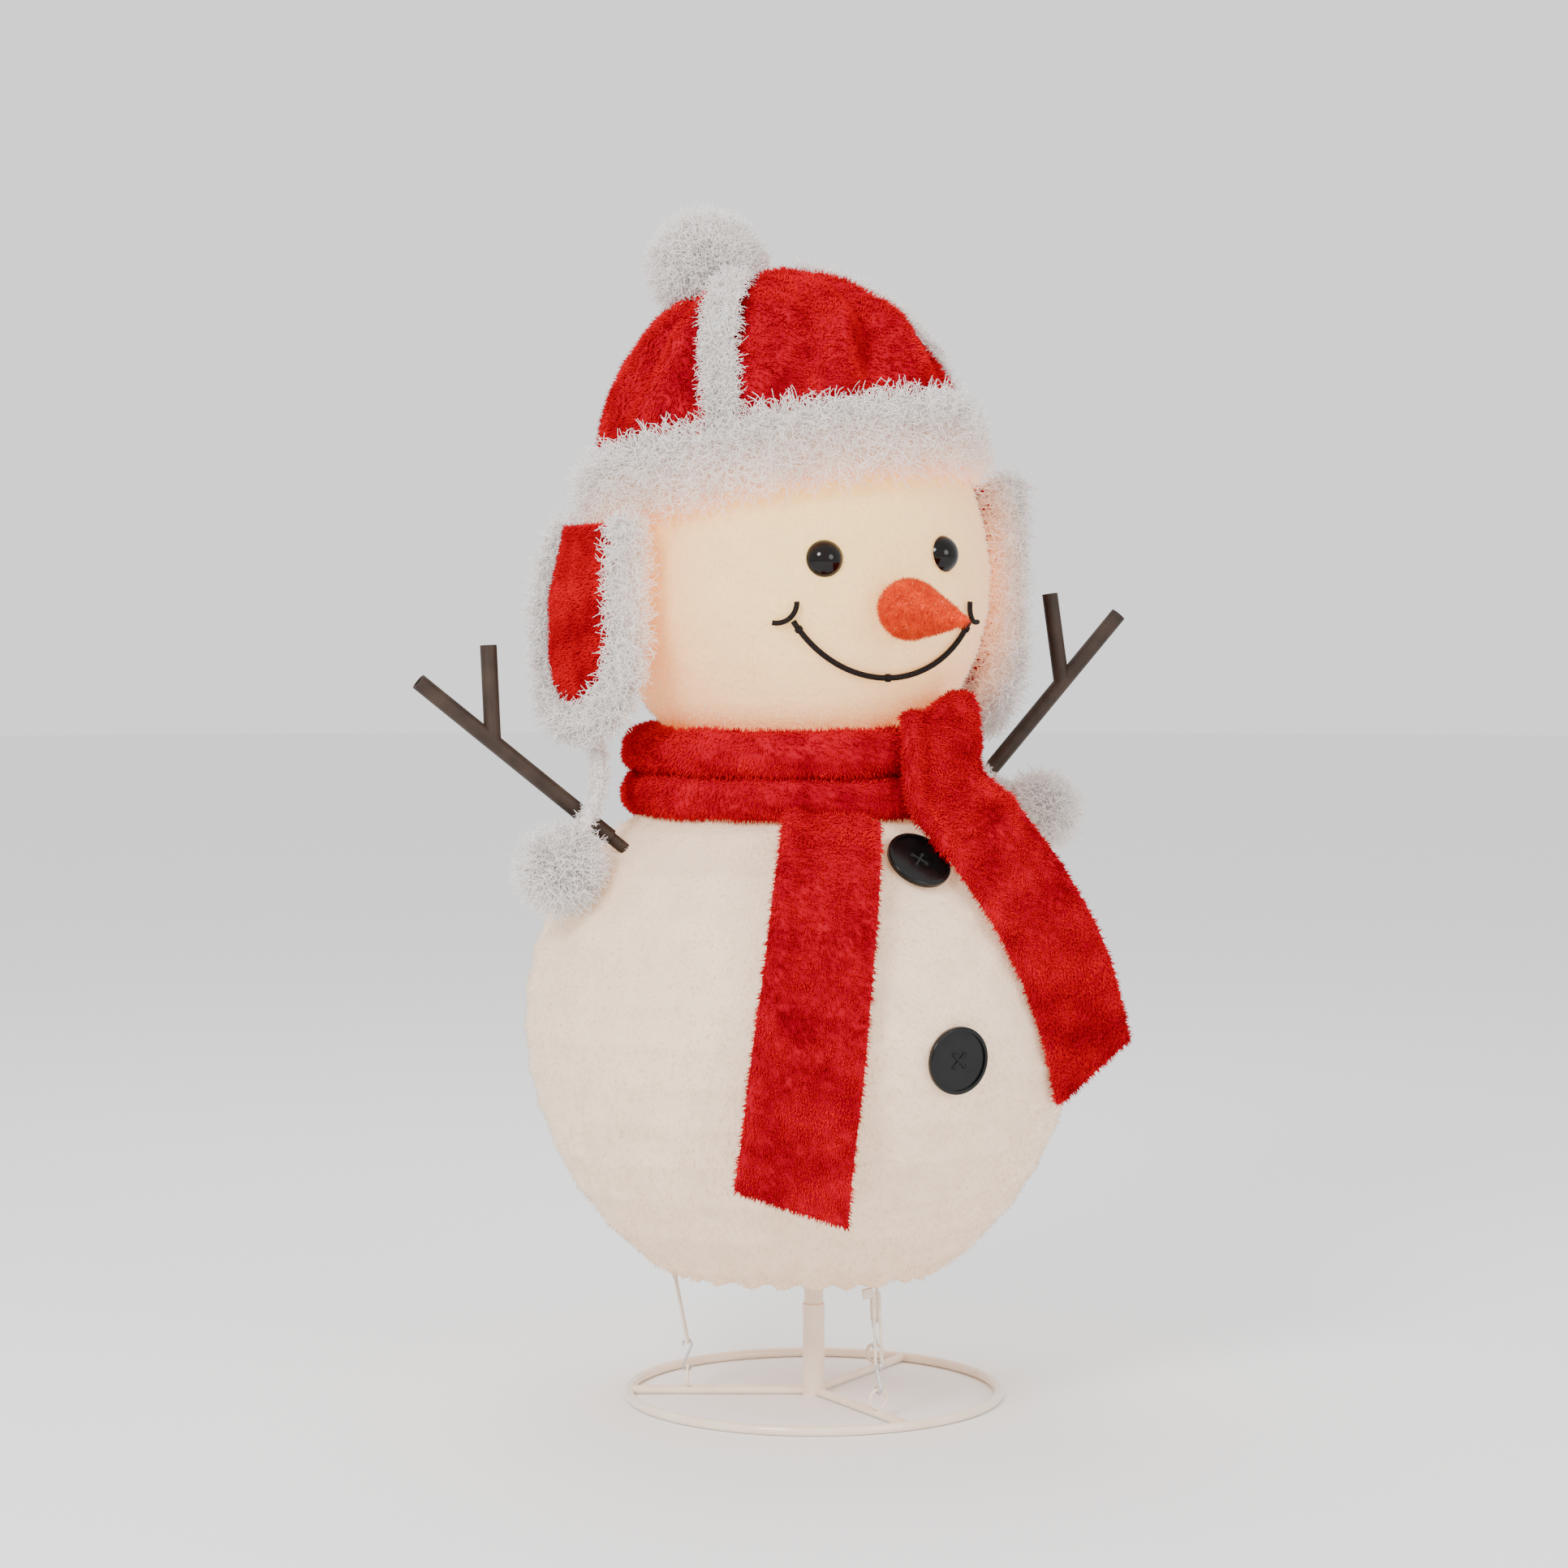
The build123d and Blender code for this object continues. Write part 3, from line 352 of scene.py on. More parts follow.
# ---- building meshes -------------------------------------------------------------------------
def piece(name, points, faces, corners, look, body, slot, looks=(), which=None):
    """A mesh piece. faces and corners hold arrays of faces and of their corners' places on the layout."""
    mesh = bpy.data.meshes.new(name)
    points = np.asarray(points, np.float32).reshape(-1, 3)
    mesh.vertices.add(len(points))
    mesh.vertices.foreach_set("co", points.ravel())
    loops = np.concatenate([f.ravel() for f in faces]).astype(np.int32)
    sides = np.concatenate([np.full(len(f), f.shape[1]) for f in faces])
    mesh.loops.add(len(loops))
    mesh.loops.foreach_set("vertex_index", loops)
    mesh.polygons.add(len(sides))
    mesh.polygons.foreach_set("loop_start", (np.cumsum(sides) - sides).astype(np.int32))
    layout = np.concatenate([c.reshape(-1, 2) for c in corners]).astype(np.float32)
    mesh.uv_layers.new(name="OFBake").data.foreach_set("uv", layout.ravel())
    mesh.polygons.foreach_set("use_smooth", np.ones(len(sides), bool))
    for material in (look, *looks):
        mesh.materials.append(material)
    if which is not None:
        mesh.polygons.foreach_set("material_index", which.astype(np.int32))
    mesh.update(calc_edges=True)
    made = bpy.data.objects.new(name, mesh)
    bpy.context.scene.collection.objects.link(made)
    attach(made, body)
    return made


def grid_piece(name, grid, look, body, slot, ring=True, loop=False, caps=False):
    """A surface through rows of points. ring joins each row's ends, loop the last row to the first."""
    rows, columns = grid.shape[:2]
    down, across = rows if loop else rows - 1, columns if ring else columns - 1
    r, c = np.mgrid[0:down, 0:across]
    steps = [(r, c), (r, c + 1), (r + 1, c + 1), (r + 1, c)]
    faces = [np.stack([(a % rows) * columns + b % columns for a, b in steps], -1).reshape(-1, 4)]
    corners = [np.stack([np.stack([b / across, a / down], -1) for a, b in steps], -2).reshape(-1, 4, 2)]
    if caps:
        ends = np.arange(columns)
        faces += [ends[None, ::-1], ends[None] + (rows - 1) * columns]
        corners += [np.full((1, columns, 2), 0.001), np.full((1, columns, 2), 0.999)]
    points = grid.reshape(-1, 3)
    quads = points[faces[0]]
    facing = np.cross(quads[:, 2] - quads[:, 0], quads[:, 3] - quads[:, 1])
    if ((quads.mean(1) - points.mean(0)) * facing).sum() < 0:
        faces, corners = [f[:, ::-1] for f in faces], [c[:, ::-1] for c in corners]
    return piece(name, grid, faces, corners, look, body, slot)


def thicken(made):
    """Plush of one thickness, inwards from its outer face."""
    thick = made.modifiers.new("thickness", "SOLIDIFY")
    thick.thickness, thick.offset = plush_thickness, -1


def tube_rows(path, radius, sides=16, flat=1.0, across=None):
    """Rows of points round a path: an array of rings, flattened by flat along the second direction."""
    along = unit(np.gradient(path, axis=0))
    if across is None:
        first = np.cross(along[0], (0, 0, 1) if abs(along[0][2]) < 0.9 else (1, 0, 0))
        across = [unit(first)]
        for step in along[1:]:
            across.append(unit(across[-1] - step * (across[-1] @ step)))
        across = np.array(across)
    second = np.cross(along, across)
    turn = np.linspace(0, 2 * pi, sides, endpoint=False)
    radius = np.broadcast_to(radius, len(path))[:, None, None]
    ring = (across[:, None] * np.cos(turn)[None, :, None]
            + flat * second[:, None] * np.sin(turn)[None, :, None])
    return path[:, None] + ring * radius


def ball_rows(centre, radius, rows=48, columns=72, lumps=0.0, seed=0.0):
    """Rows of points over a lumpy ball."""
    rise = np.linspace(-88, 88, rows)[:, None]
    azimuth = np.linspace(0, 360, columns, endpoint=False)[None]
    aim = outward(azimuth, rise)
    return np.array(centre) + aim * (radius + lumps * ripple(aim, 0.35, seed))[..., None]


def scatter(made, count, wanted=None):
    """Random places on a piece and the directions out of it there. wanted gives each point a weight."""
    mesh = made.data
    mesh.calc_loop_triangles()
    points = np.zeros(len(mesh.vertices) * 3)
    mesh.vertices.foreach_get("co", points)
    normals = np.zeros_like(points)
    mesh.vertices.foreach_get("normal", normals)
    triangles = np.zeros(len(mesh.loop_triangles) * 3, np.int32)
    mesh.loop_triangles.foreach_get("vertices", triangles)
    points, normals, triangles = points.reshape(-1, 3), normals.reshape(-1, 3), triangles.reshape(-1, 3)
    a, b, c = (points[triangles[:, k]] for k in range(3))
    weight = np.linalg.norm(np.cross(b - a, c - a), axis=1)
    if wanted is not None:
        weight = weight * wanted((a + b + c) / 3, unit(normals[triangles].sum(1)))
    chosen = rng.choice(len(triangles), count, p=weight / weight.sum())
    share = rng.dirichlet((1, 1, 1), count)[..., None]
    corner_points, corner_normals = points[triangles[chosen]], normals[triangles[chosen]]
    return (corner_points * share).sum(1), unit((corner_normals * share).sum(1))


def cells(count, shape):
    """A small place of its own on the layout for each of count hairs, spread over an array of faces."""
    across = int(np.ceil(np.sqrt(count)))
    index = np.arange(count)
    low = np.stack([index % across, index // across], -1) + 0.2
    low = low[:, None, None] + 0.6 * np.asarray(shape)[None]
    return (low / across).reshape(-1, np.asarray(shape).shape[-2], 2)


def strands(name, roots, normals, length, width, look, body, slot, steps=4, lean=0.6, curl=2.6, droop=0.1,
            **more):
    """Long curling hairs, each a closed three-sided tube."""
    count = len(roots)
    side = unit(np.cross(normals, rng.normal(size=(count, 3))))
    aim = unit(normals + side * rng.uniform(0.2, 1.4, (count, 1)) * lean)
    axis = unit(np.cross(aim, rng.normal(size=(count, 3))) + aim * rng.uniform(-0.5, 0.5, (count, 1)))
    step_length = length * rng.uniform(0.55, 1.25, (count, 1)) / steps
    turn = curl * rng.uniform(0.3, 1.3, count) / steps
    path = [roots]
    for _ in range(steps):
        path.append(path[-1] + aim * step_length)
        aim = turned(aim, axis, turn)
        aim[:, 2] -= droop / steps
        aim = unit(aim)
    path = np.stack(path, 1)
    along = unit(np.gradient(path, axis=1))
    first = unit(np.cross(along, axis[:, None]))
    second = np.cross(along, first)
    thin = np.linspace(1, 0.45, steps + 1)[None, :, None, None] * width / 2
    ring = np.arange(3) * 2 * pi / 3
    points = path[:, :, None] + thin * (
        first[:, :, None] * np.cos(ring)[:, None] + second[:, :, None] * np.sin(ring)[:, None]
    )
    start = np.arange(count)[:, None, None] * 3 * (steps + 1)
    k, j = np.mgrid[0:steps, 0:3]
    steps_round = [(k, j), (k, j + 1), (k + 1, j + 1), (k + 1, j)]
    quad = np.stack([b * 3 + a % 3 for b, a in steps_round], -1).reshape(-1, 4)
    places = np.stack([np.stack([a / 3, b / steps], -1) for b, a in steps_round], -2)
    ends = np.array([[2, 1, 0], [3 * steps, 3 * steps + 1, 3 * steps + 2]])
    faces = [(start + quad).reshape(-1, 4), (start + ends).reshape(-1, 3)]
    flat_ends = np.array([[[0, 0], [0.5, 0], [1, 0]], [[0, 1], [0.5, 1], [1, 1]]], float)
    corners = [cells(count, places.reshape(-1, 4, 2)), cells(count, flat_ends)]
    return piece(name, points, faces, corners, look, body, slot, **more)


def spikes(name, roots, normals, length, width, look, body, slot, nap=(0, 0, -0.5), wild=0.5, **more):
    """Short straight pile, each hair a closed three-sided spike."""
    count = len(roots)
    aim = unit(normals + np.array(nap) + rng.normal(size=(count, 3)) * wild * 0.5)
    first = unit(np.cross(aim, rng.normal(size=(count, 3))))
    second = np.cross(aim, first)
    ring = np.arange(3) * 2 * pi / 3
    foot = (roots - normals * 0.0006)[:, None] + width / 2 * (
        first[:, None] * np.cos(ring)[:, None] + second[:, None] * np.sin(ring)[:, None]
    )
    tip = roots + aim * length * rng.uniform(0.6, 1.3, (count, 1))
    points = np.concatenate([foot, tip[:, None]], 1)
    start = np.arange(count)[:, None, None] * 4
    faces = [(start + np.array([[0, 1, 3], [1, 2, 3], [2, 0, 3], [2, 1, 0]])).reshape(-1, 3)]
    places = np.array([[[0, 0], [1, 0], [0.5, 1]]] * 4, float)
    return piece(name, points, faces, [cells(count, places)], look, body, slot, **more)


def fold(made):
    """Gives the piece a mesh of its own."""
    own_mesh(made)
    return made


def soft_copy(name, body):
    """A copy of a wire part of the frame, hung from a body, with the part itself hidden. The real wire has to
    close up with the covers.
    """
    made = bpy.data.objects.new(f"{name}_wire", nodes[name].data.copy())
    bpy.context.scene.collection.objects.link(made)
    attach(made, body)
    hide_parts(name)
    return fold(made)


# ---- camera ----------------------------------------------------------------------------------
view_azimuth, view_distance, view_height = -30.0, 2.85, 0.62
look_at = Vector((-0.0199, 0.0115, 0.475))
camera = bpy.data.objects.new("camera", bpy.data.cameras.new("camera"))
bpy.context.scene.collection.objects.link(camera)
camera.data.lens = 85
eye_point = Vector((*(outward(view_azimuth)[:2] * view_distance), view_height))
camera.location = eye_point
camera.rotation_euler = (look_at - eye_point).to_track_quat("-Z", "Y").to_euler()
bpy.context.scene.camera = camera

# ---- tassel cords ----------------------------------------------------------------------------
cord_diameter = 0.010
tassel_radius = {"left": 0.031, "right": 0.028}
tassel_routes = {
    "left": [(-0.1736, 0.0262, 0.5075), (-0.1795, 0.0095, 0.4895), (-0.1893, -0.0045, 0.4675),
             (-0.2006, 0.0, 0.444)],
    "right": [(0.152, 0.0262, 0.5075), (0.1504, 0.0144, 0.4908), (0.156, -0.0032, 0.4742),
              (0.171, -0.0158, 0.4644)],
}


def route_line(route):
    """Points along a route's smooth line."""
    curve = bpy.data.curves.new("route", "CURVE")
    curve.dimensions = "3D"
    spline = curve.splines.new("NURBS")
    spline.points.add(len(route) - 1)
    for place, point in zip(spline.points, route):
        place.co = (*point, 1)
    spline.order_u = 3
    spline.use_endpoint_u = True
    spline.resolution_u = 12
    holder = bpy.data.objects.new("route", curve)
    bpy.context.scene.collection.objects.link(holder)
    line = bpy.data.meshes.new_from_object(holder)
    found = np.array([v.co for v in line.vertices])
    bpy.data.objects.remove(holder)
    return found


def tassel(side):
    body, level = f"tassel_{side}", flap_levels[side]
    line = route_line(tassel_routes[side])
    cord_piece = grid_piece(f"tassel_cord_{side}_fluff", tube_rows(line, cord_diameter / 2, 14), fur_base,
                            body, "white_cord", caps=True)
    roots, normals = scatter(cord_piece, 900)
    fuzz = strands(f"tassel_cord_{side}_pile", roots, normals, 0.006, 0.0007, fur_pile, body, "white_cord",
                   steps=3, lean=1.0, curl=1.8)
    radius = tassel_radius[side]
    aim = unit(line[-1] - line[-2])
    centre = line[-1] + aim * radius
    core = ball_rows(centre, radius * 0.66, 36, 48, 0.002, 3.0)
    core_piece = grid_piece(f"tassel_pompom_{side}_core", belly.clear(core, 0.003), fur_base, body,
                            "white_fur", caps=True)
    roots, normals = scatter(core_piece, 3000)
    pile = strands(f"tassel_pompom_{side}_pile", roots, normals, radius * 0.62, 0.0009, fur_pile, body,
                   "white_fur", lean=0.5, curl=1.8, droop=0.25)
    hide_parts(f"tassel_cord_{side}")
    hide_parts(f"tassel_pompom_{side}")
    for made in (cord_piece, fuzz, core_piece, pile):
        fold(made)


for side in ("left", "right"):
    tassel(side)

# ---- covers over the spiral frames -----------------------------------------------------------
wire_pitch = 0.030
seam_azimuths = {"belly": (-92, 88, 178), "head": (2, 92, -88, 182)}
eye_places = {"left": (-22, 0.647), "right": (19, 0.651)}


def wire_lines(azimuth, height, first, rise):
    """How far the cloth stands out over the spiral wire, and sags between its turns."""
    phase = (height - first) / wire_pitch - (azimuth - 90) / 360
    near = np.abs(phase - np.round(phase)) * wire_pitch
    return rise * bump(near, 0.0045) - rise * 0.5 * bump(near - wire_pitch / 2, 0.009)


def seams(azimuth, radius, places, depth, width):
    total = 0
    for place in places:
        away = np.abs((azimuth - place + 180) % 360 - 180)
        total = total - depth * bump(np.radians(away) * radius, width)
    return total


def belly_cover():
    low, high = belly_low_corner.z, belly_high_corner.z
    azimuth, height = np.meshgrid(np.linspace(0, 360, 300, endpoint=False), np.linspace(low, high, 210))
    place = belly.point(azimuth, height)
    lift = wire_lines(azimuth, height, 0.126, 0.0011)
    lift += seams(azimuth, belly.radius_at(height), seam_azimuths["belly"], 0.0014, 0.0022)
    lift += 0.0016 * ripple(place, 0.07) + 0.0006 * ripple(place, 0.018, 5.0)
    hem = bump(height - low, 0.020)
    lift += hem * 0.0022 * np.sin(np.radians(azimuth) * 26 + 3 * ripple(place, 0.05, 9.0))
    lift -= 0.0012
    made = grid_piece("belly_plush_cover", belly.point(azimuth, height, lift), belly_plush, "root",
                      "white_plush")
    thicken(made)
    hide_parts("belly_cover")
    roots, normals = scatter(made, 40000)
    pile = spikes("belly_pile", roots, normals, 0.0032, 0.0009, white_pile, "root", "white_plush", wild=0.9)
    fold(made)
    fold(pile)


def head_cover():
    low, high = head_low_corner.z, head_high_corner.z
    azimuth, height = np.meshgrid(np.linspace(0, 360, 240, endpoint=False), np.linspace(low, high, 160))
    place = head.point(azimuth, height)
    lift = wire_lines(azimuth, height, 0.522, 0.0004)
    lift += seams(azimuth, head.radius_at(height), seam_azimuths["head"], 0.0010, 0.0020)
    lift += 0.0013 * ripple(place, 0.06, 2.0) + 0.0004 * ripple(place, 0.015, 7.0)
    for eye_azimuth, eye_height in eye_places.values():
        away = np.linalg.norm(place - head.point(eye_azimuth, eye_height), axis=-1)
        lift -= 0.0016 * bump(away, 0.020)
    made = grid_piece("head_plush_cover", head.point(azimuth, height, lift), head_plush, "neck",
                      "white_plush")
    thicken(made)
    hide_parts("head_cover")
    roots, normals = scatter(made, 26000, lambda p, n: p[:, 2] < 0.72)
    pile = spikes("head_pile", roots, normals, 0.0028, 0.0008, white_pile, "neck", "white_plush", wild=0.9)
    fold(made)
    fold(pile)


inner_slots = {"{}_spiral": "frame_wire", "light_lead_{}": "lamp_wire", "lamp_holders_{}": "lamp_holder",
               "lamp_bulbs_{}": "lamp_glass"}
for where, body, level in (("belly", "root", hem_level), ("head", "neck", neck_level)):
    for name, slot in inner_slots.items():
        soft_copy(name.format(where), body)
belly_cover()
head_cover()

# ---- nose ------------------------------------------------------------------------------------
nose_length, nose_ball, nose_tip, nose_droop = 0.096, 0.023, 0.0045, 6.0
nose_height, nose_sunk, ball_place = 0.612, 0.0022, 0.017


def nose():
    foot = head.point(0, nose_height) + outward(0, -nose_droop) * nose_sunk
    aim = outward(0, -nose_droop)
    slope = asin((nose_ball - nose_tip) / (nose_length - nose_tip - ball_place))
    along = np.linspace(0.0, nose_length, 110)
    shoulder = ball_place + nose_ball * sin(slope)
    tip_start = nose_length - nose_tip + nose_tip * sin(slope)
    ball = np.sqrt(np.clip(nose_ball**2 - (along - ball_place) ** 2, 0, None))
    cone = np.interp(along, [shoulder, tip_start], [nose_ball * cos(slope), nose_tip * cos(slope)])
    end = np.sqrt(np.clip(nose_tip**2 - (along - nose_length + nose_tip) ** 2, 1e-8, None))
    radius = np.where(along < shoulder, ball, np.where(along < tip_start, cone, end))
    radius = radius - 0.0026 - 0.0007 * np.cos(along / 0.0042 * 2 * pi)
    radius = np.maximum(radius, 0.0005)
    made = grid_piece("nose_cone", tube_rows(foot + along[:, None] * aim, radius, 56), tinsel, "nose",
                      "orange_tinsel", caps=True)
    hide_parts("nose")
    roots, normals = scatter(made, 15000)
    sparkle = np.repeat(rng.random(len(roots)) < 0.012, 4)
    spikes("nose_tinsel", roots, normals, 0.0036, 0.0008, tinsel, "nose", "orange_tinsel", nap=(0, 0, 0),
           wild=1.2, looks=(glitter,), which=sparkle)


nose()


# ---- red plush -------------------------------------------------------------------------------
def red_pile_on(made, name, body, count, wanted=None, length=0.0042, **more):
    roots, normals = scatter(made, count, wanted)
    return spikes(name, roots, normals, length, 0.0013, red_pile, body, "red_plush", **more)


def scarf_band():
    """Two rolls of plush round the neck, with folds running along them."""
    azimuth = np.linspace(0, 360, 300, endpoint=False)[:, None]
    turn = np.linspace(0, 2 * pi, 40, endpoint=False)[None]
    centre = np.array([belly_middle.x, belly_middle.y, 0])
    rolls = []
    for height, shift in ((0.4690, 0.0), (0.5025, 4.0)):
        wander = ripple(outward(azimuth[:, 0]), 0.8, shift)[:, None]
        girth = 0.0178 + 0.0016 * ripple(outward(azimuth[:, 0]), 0.35, shift + 2)[:, None]
        radius = 0.1185 + 0.0012 * wander + girth * np.cos(turn)
        level = height + 0.0022 * wander + girth * np.sin(turn)
        grid = centre + outward(azimuth) * radius[..., None] + level[..., None] * np.array(UP)
        swirl = np.sin(6 * turn + np.radians(azimuth) * 3 + 4 * ripple(grid, 0.08, shift))
        normal = outward(azimuth) * np.cos(turn)[..., None] + np.sin(turn)[..., None] * np.array(UP)
        crease = -0.0016 * np.clip(swirl, 0, 1) ** 3 + 0.0014 * ripple(grid, 0.03, shift + 7)
        rolls.append(grid + normal * crease[..., None])
    for number, grid in enumerate(rolls):
        grid = head.clear(belly.clear(grid, 0.0015), 0.0015)
        name = ("scarf_band_lower", "scarf_band_upper")[number]
        made = grid_piece(name, grid, red_plush, "neck", "red_plush", loop=True)
        if number == 0:
            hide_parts("scarf_band")
        red_pile_on(made, f"{name}_pile", "neck", 16000,
                    lambda p, n: (np.linalg.norm(p[:, :2] - centre[:2], axis=1) > 0.112) * 1.0)


scarf_band()


def ribbon(name, path, across, half_width, thickness, body, replaced, pile_count, pleat=0.0, end_slant=0.0,
           start_slant=0.0):
    """A length of plush along a path, lying across a direction: a flat tube with wavy sides and folds."""
    share = np.linspace(0, 1, len(path))
    half = half_width * (1 + 0.03 * ripple(np.stack([share, 0 * share, 0 * share], -1), 0.25, 3.0))
    along = unit(np.gradient(path, axis=0))
    across = unit(across - along * (across * along).sum(1, keepdims=True))
    out = np.cross(along, across)
    turn = np.linspace(0, 2 * pi, 84, endpoint=False)
    x = np.sign(np.cos(turn)) * np.abs(np.cos(turn)) ** 0.35
    y = np.sign(np.sin(turn)) * np.abs(np.sin(turn)) ** 0.8
    slide = end_slant * x[None] * share[:, None] ** 6 + start_slant * x[None] * (1 - share[:, None]) ** 3
    grid = (path[:, None] + across[:, None] * (half[:, None] * x)[..., None]
            + out[:, None] * (thickness / 2 * y)[None, :, None] + along[:, None] * slide[..., None])
    folds = pleat * share_of(share, pleat)[:, None] * np.cos(3.0 * pi * x + 1.2)[None]
    wander = 0.0022 * ripple(grid, 0.05, 4.0) + 0.0008 * ripple(grid, 0.016, 8.0)
    grid = grid + out[:, None] * (wander + folds)[..., None]
    made = grid_piece(name, grid, red_plush, body, "red_plush", caps=True)
    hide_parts(replaced)
    pile = red_pile_on(made, f"{name}_pile", body, pile_count, nap=(0, 0, -0.55))
    fold(made)
    fold(pile)
    return made


def share_of(share, pleat):
    """Folds are deepest where the plush is gathered and die out along it."""
    return np.clip(1 - 1.1 * share, 0, 1) if pleat < 0.002 else 0.4 + 0.6 * np.sin(share * pi)


def smooth_path(points, count=90):
    """Points along a curve through a few places."""
    points = np.array(points, float)
    gap = np.concatenate([[0], np.cumsum(np.linalg.norm(np.diff(points, axis=0), axis=1))])
    slope = np.gradient(points, gap, axis=0)
    at = np.linspace(0, gap[-1], count)
    index = np.clip(np.searchsorted(gap, at, side="right") - 1, 0, len(points) - 2)
    width = (gap[index + 1] - gap[index])[:, None]
    t = ((at - gap[index])[:, None]) / width
    a, b = points[index], points[index + 1]
    return ((2 * t**3 - 3 * t**2 + 1) * a + (t**3 - 2 * t**2 + t) * width * slope[index]
            + (-2 * t**3 + 3 * t**2) * b + (t**3 - t**2) * width * slope[index + 1])


def scarf_tails():
    centre = np.array([belly_middle.x, belly_middle.y, 0])
    azimuth, slant = -28.2, radians(-6.6)
    lean = tangent(azimuth) * cos(slant) + np.array(UP) * sin(slant)
    places = [(0.150, 0.159), (0.186, 0.130), (0.208, 0.085), (0.2215, 0.030), (0.225, -0.010),
              (0.224, -0.060), (0.220, -0.119)]
    down = np.cross(lean, outward(azimuth))
    down = down * np.sign(down[2])
    start = centre + np.array([0, 0, 0.300])
    path = smooth_path([start + outward(azimuth) * out + down * rise for out, rise in places])
    widths = np.interp(np.linspace(0, 1, len(path)), [0, 0.10, 0.35, 1], [0.0355, 0.0370, 0.0385, 0.0420])
    front = ribbon("scarf_tail_front_plush", path, np.tile(lean, (len(path), 1)), widths, 0.0056,
                   "tail_front", "scarf_tail_front", 22000, pleat=0.0019, end_slant=0.009)
    places = [(15.8, 0.176, 0.458), (20.4, 0.207, 0.412), (24.4, 0.230, 0.364), (31.0, 0.236, 0.314),
              (38.8, 0.235, 0.264)]
    path = smooth_path([centre + outward(a) * r + np.array([0, 0, z]) for a, r, z in places])
    lean = unit(np.array([0.909, -0.122, 0.399]))
    side = ribbon("scarf_tail_side_plush", path, np.tile(lean, (len(path), 1)), 0.0355, 0.0056, "tail_side",
                  "scarf_tail_side", 19000, pleat=0.0019, end_slant=-0.012)


def scarf_knot():
    """Where the side tail comes out over the band, gathered into folds and pulled up to a peak."""
    centre = np.array([belly_middle.x, belly_middle.y, 0])
    places = [(20, 0.128, 0.524), (17, 0.140, 0.533), (14, 0.1500, 0.516), (12.8, 0.1545, 0.492),
              (13.8, 0.160, 0.472), (15.4, 0.172, 0.460), (16.5, 0.181, 0.449)]
    path = smooth_path([centre + outward(a) * r + np.array([0, 0, z]) for a, r, z in places], 70)
    share = np.linspace(0, 1, len(path))[:, None]
    across = np.array([0.86, 0.30, 0.42]) * (1 - share) + np.array([0.909, -0.122, 0.399]) * share
    widths = np.interp(share[:, 0], [0, 0.3, 1], [0.027, 0.033, 0.0365])
    made = ribbon("scarf_knot_plush", path, across, widths, 0.0095, "neck", "scarf_knot", 11000, pleat=0.0024,
                  start_slant=-0.008)


scarf_tails()
scarf_knot()


# ---- hat -------------------------------------------------------------------------------------
def hat_crown():
    azimuth, share = np.meshgrid(np.linspace(0, 360, 280, endpoint=False), np.linspace(0, 1, 110))
    height = 0.010 + (0.1472 - 0.010) * np.sin(share * pi / 2)
    place = crown.point(azimuth, height)
    rise = np.clip((height - 0.02) / 0.13, 0, 1)
    lift = 0.0045 * ripple(place, 0.055, 1.0) + 0.0022 * ripple(place, 0.024, 5.0)
    for fold_azimuth, amount, width in ((18, 0.008, 8), (58, 0.008, 7), (-78, 0.010, 8), (-14, 0.006, 6),
                                        (130, 0.006, 10), (-150, 0.006, 9)):
        away = np.abs((azimuth - fold_azimuth - 30 * rise + 180) % 360 - 180)
        lift = lift + amount * bump(away, width) * np.sin(np.clip(rise, 0, 1) * pi) ** 0.7
        lift = lift - amount * 0.8 * bump(away - 2.1 * width, width) * np.sin(np.clip(rise, 0, 1) * pi) ** 0.7
    lift = lift - 0.005 * np.sin(rise * pi)
    made = grid_piece("hat_crown_plush", crown.point(azimuth, height, lift), red_plush, "pole_top",
                      "red_plush")
    thicken(made)
    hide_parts("hat_crown")
    pile = red_pile_on(made, "hat_crown_pile", "pole_top", 40000, length=0.0046)
    fold(made)
    fold(pile)


def hat_strips():
    half_width = 0.0110
    rows = []
    for azimuth in (-44, 72, 192):
        share = np.linspace(0, 1, 60)[:, None]
        height = 0.016 + (0.146 - 0.016) * np.sin(share * pi / 2)
        radius = np.maximum(crown.radius_at(height), 0.004)
        side = np.linspace(-half_width, half_width, 14)[None]
        spread = np.degrees(np.arctan2(side, radius))
        cover = 0.0045 * np.sqrt(np.clip(1 - (side / half_width) ** 2, 0, 1))
        rows.append(crown.point(azimuth + spread, height, cover + 0.0005))
    for number, grid in enumerate(rows):
        made = grid_piece(f"hat_strip_{number}", grid, fur_base, "pole_top", "white_fur", ring=False)
        if number == 0:
            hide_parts("hat_strips")
        roots, normals = scatter(made, 2600)
        outer = normals * np.sign((normals * (roots - crown.origin)).sum(1, keepdims=True))
        pile = strands(f"hat_strip_{number}_pile", roots, outer, 0.0115, 0.0009, fur_pile, "pole_top",
                       "white_fur", lean=1.1, curl=2.4)
        fold(made)
        fold(pile)


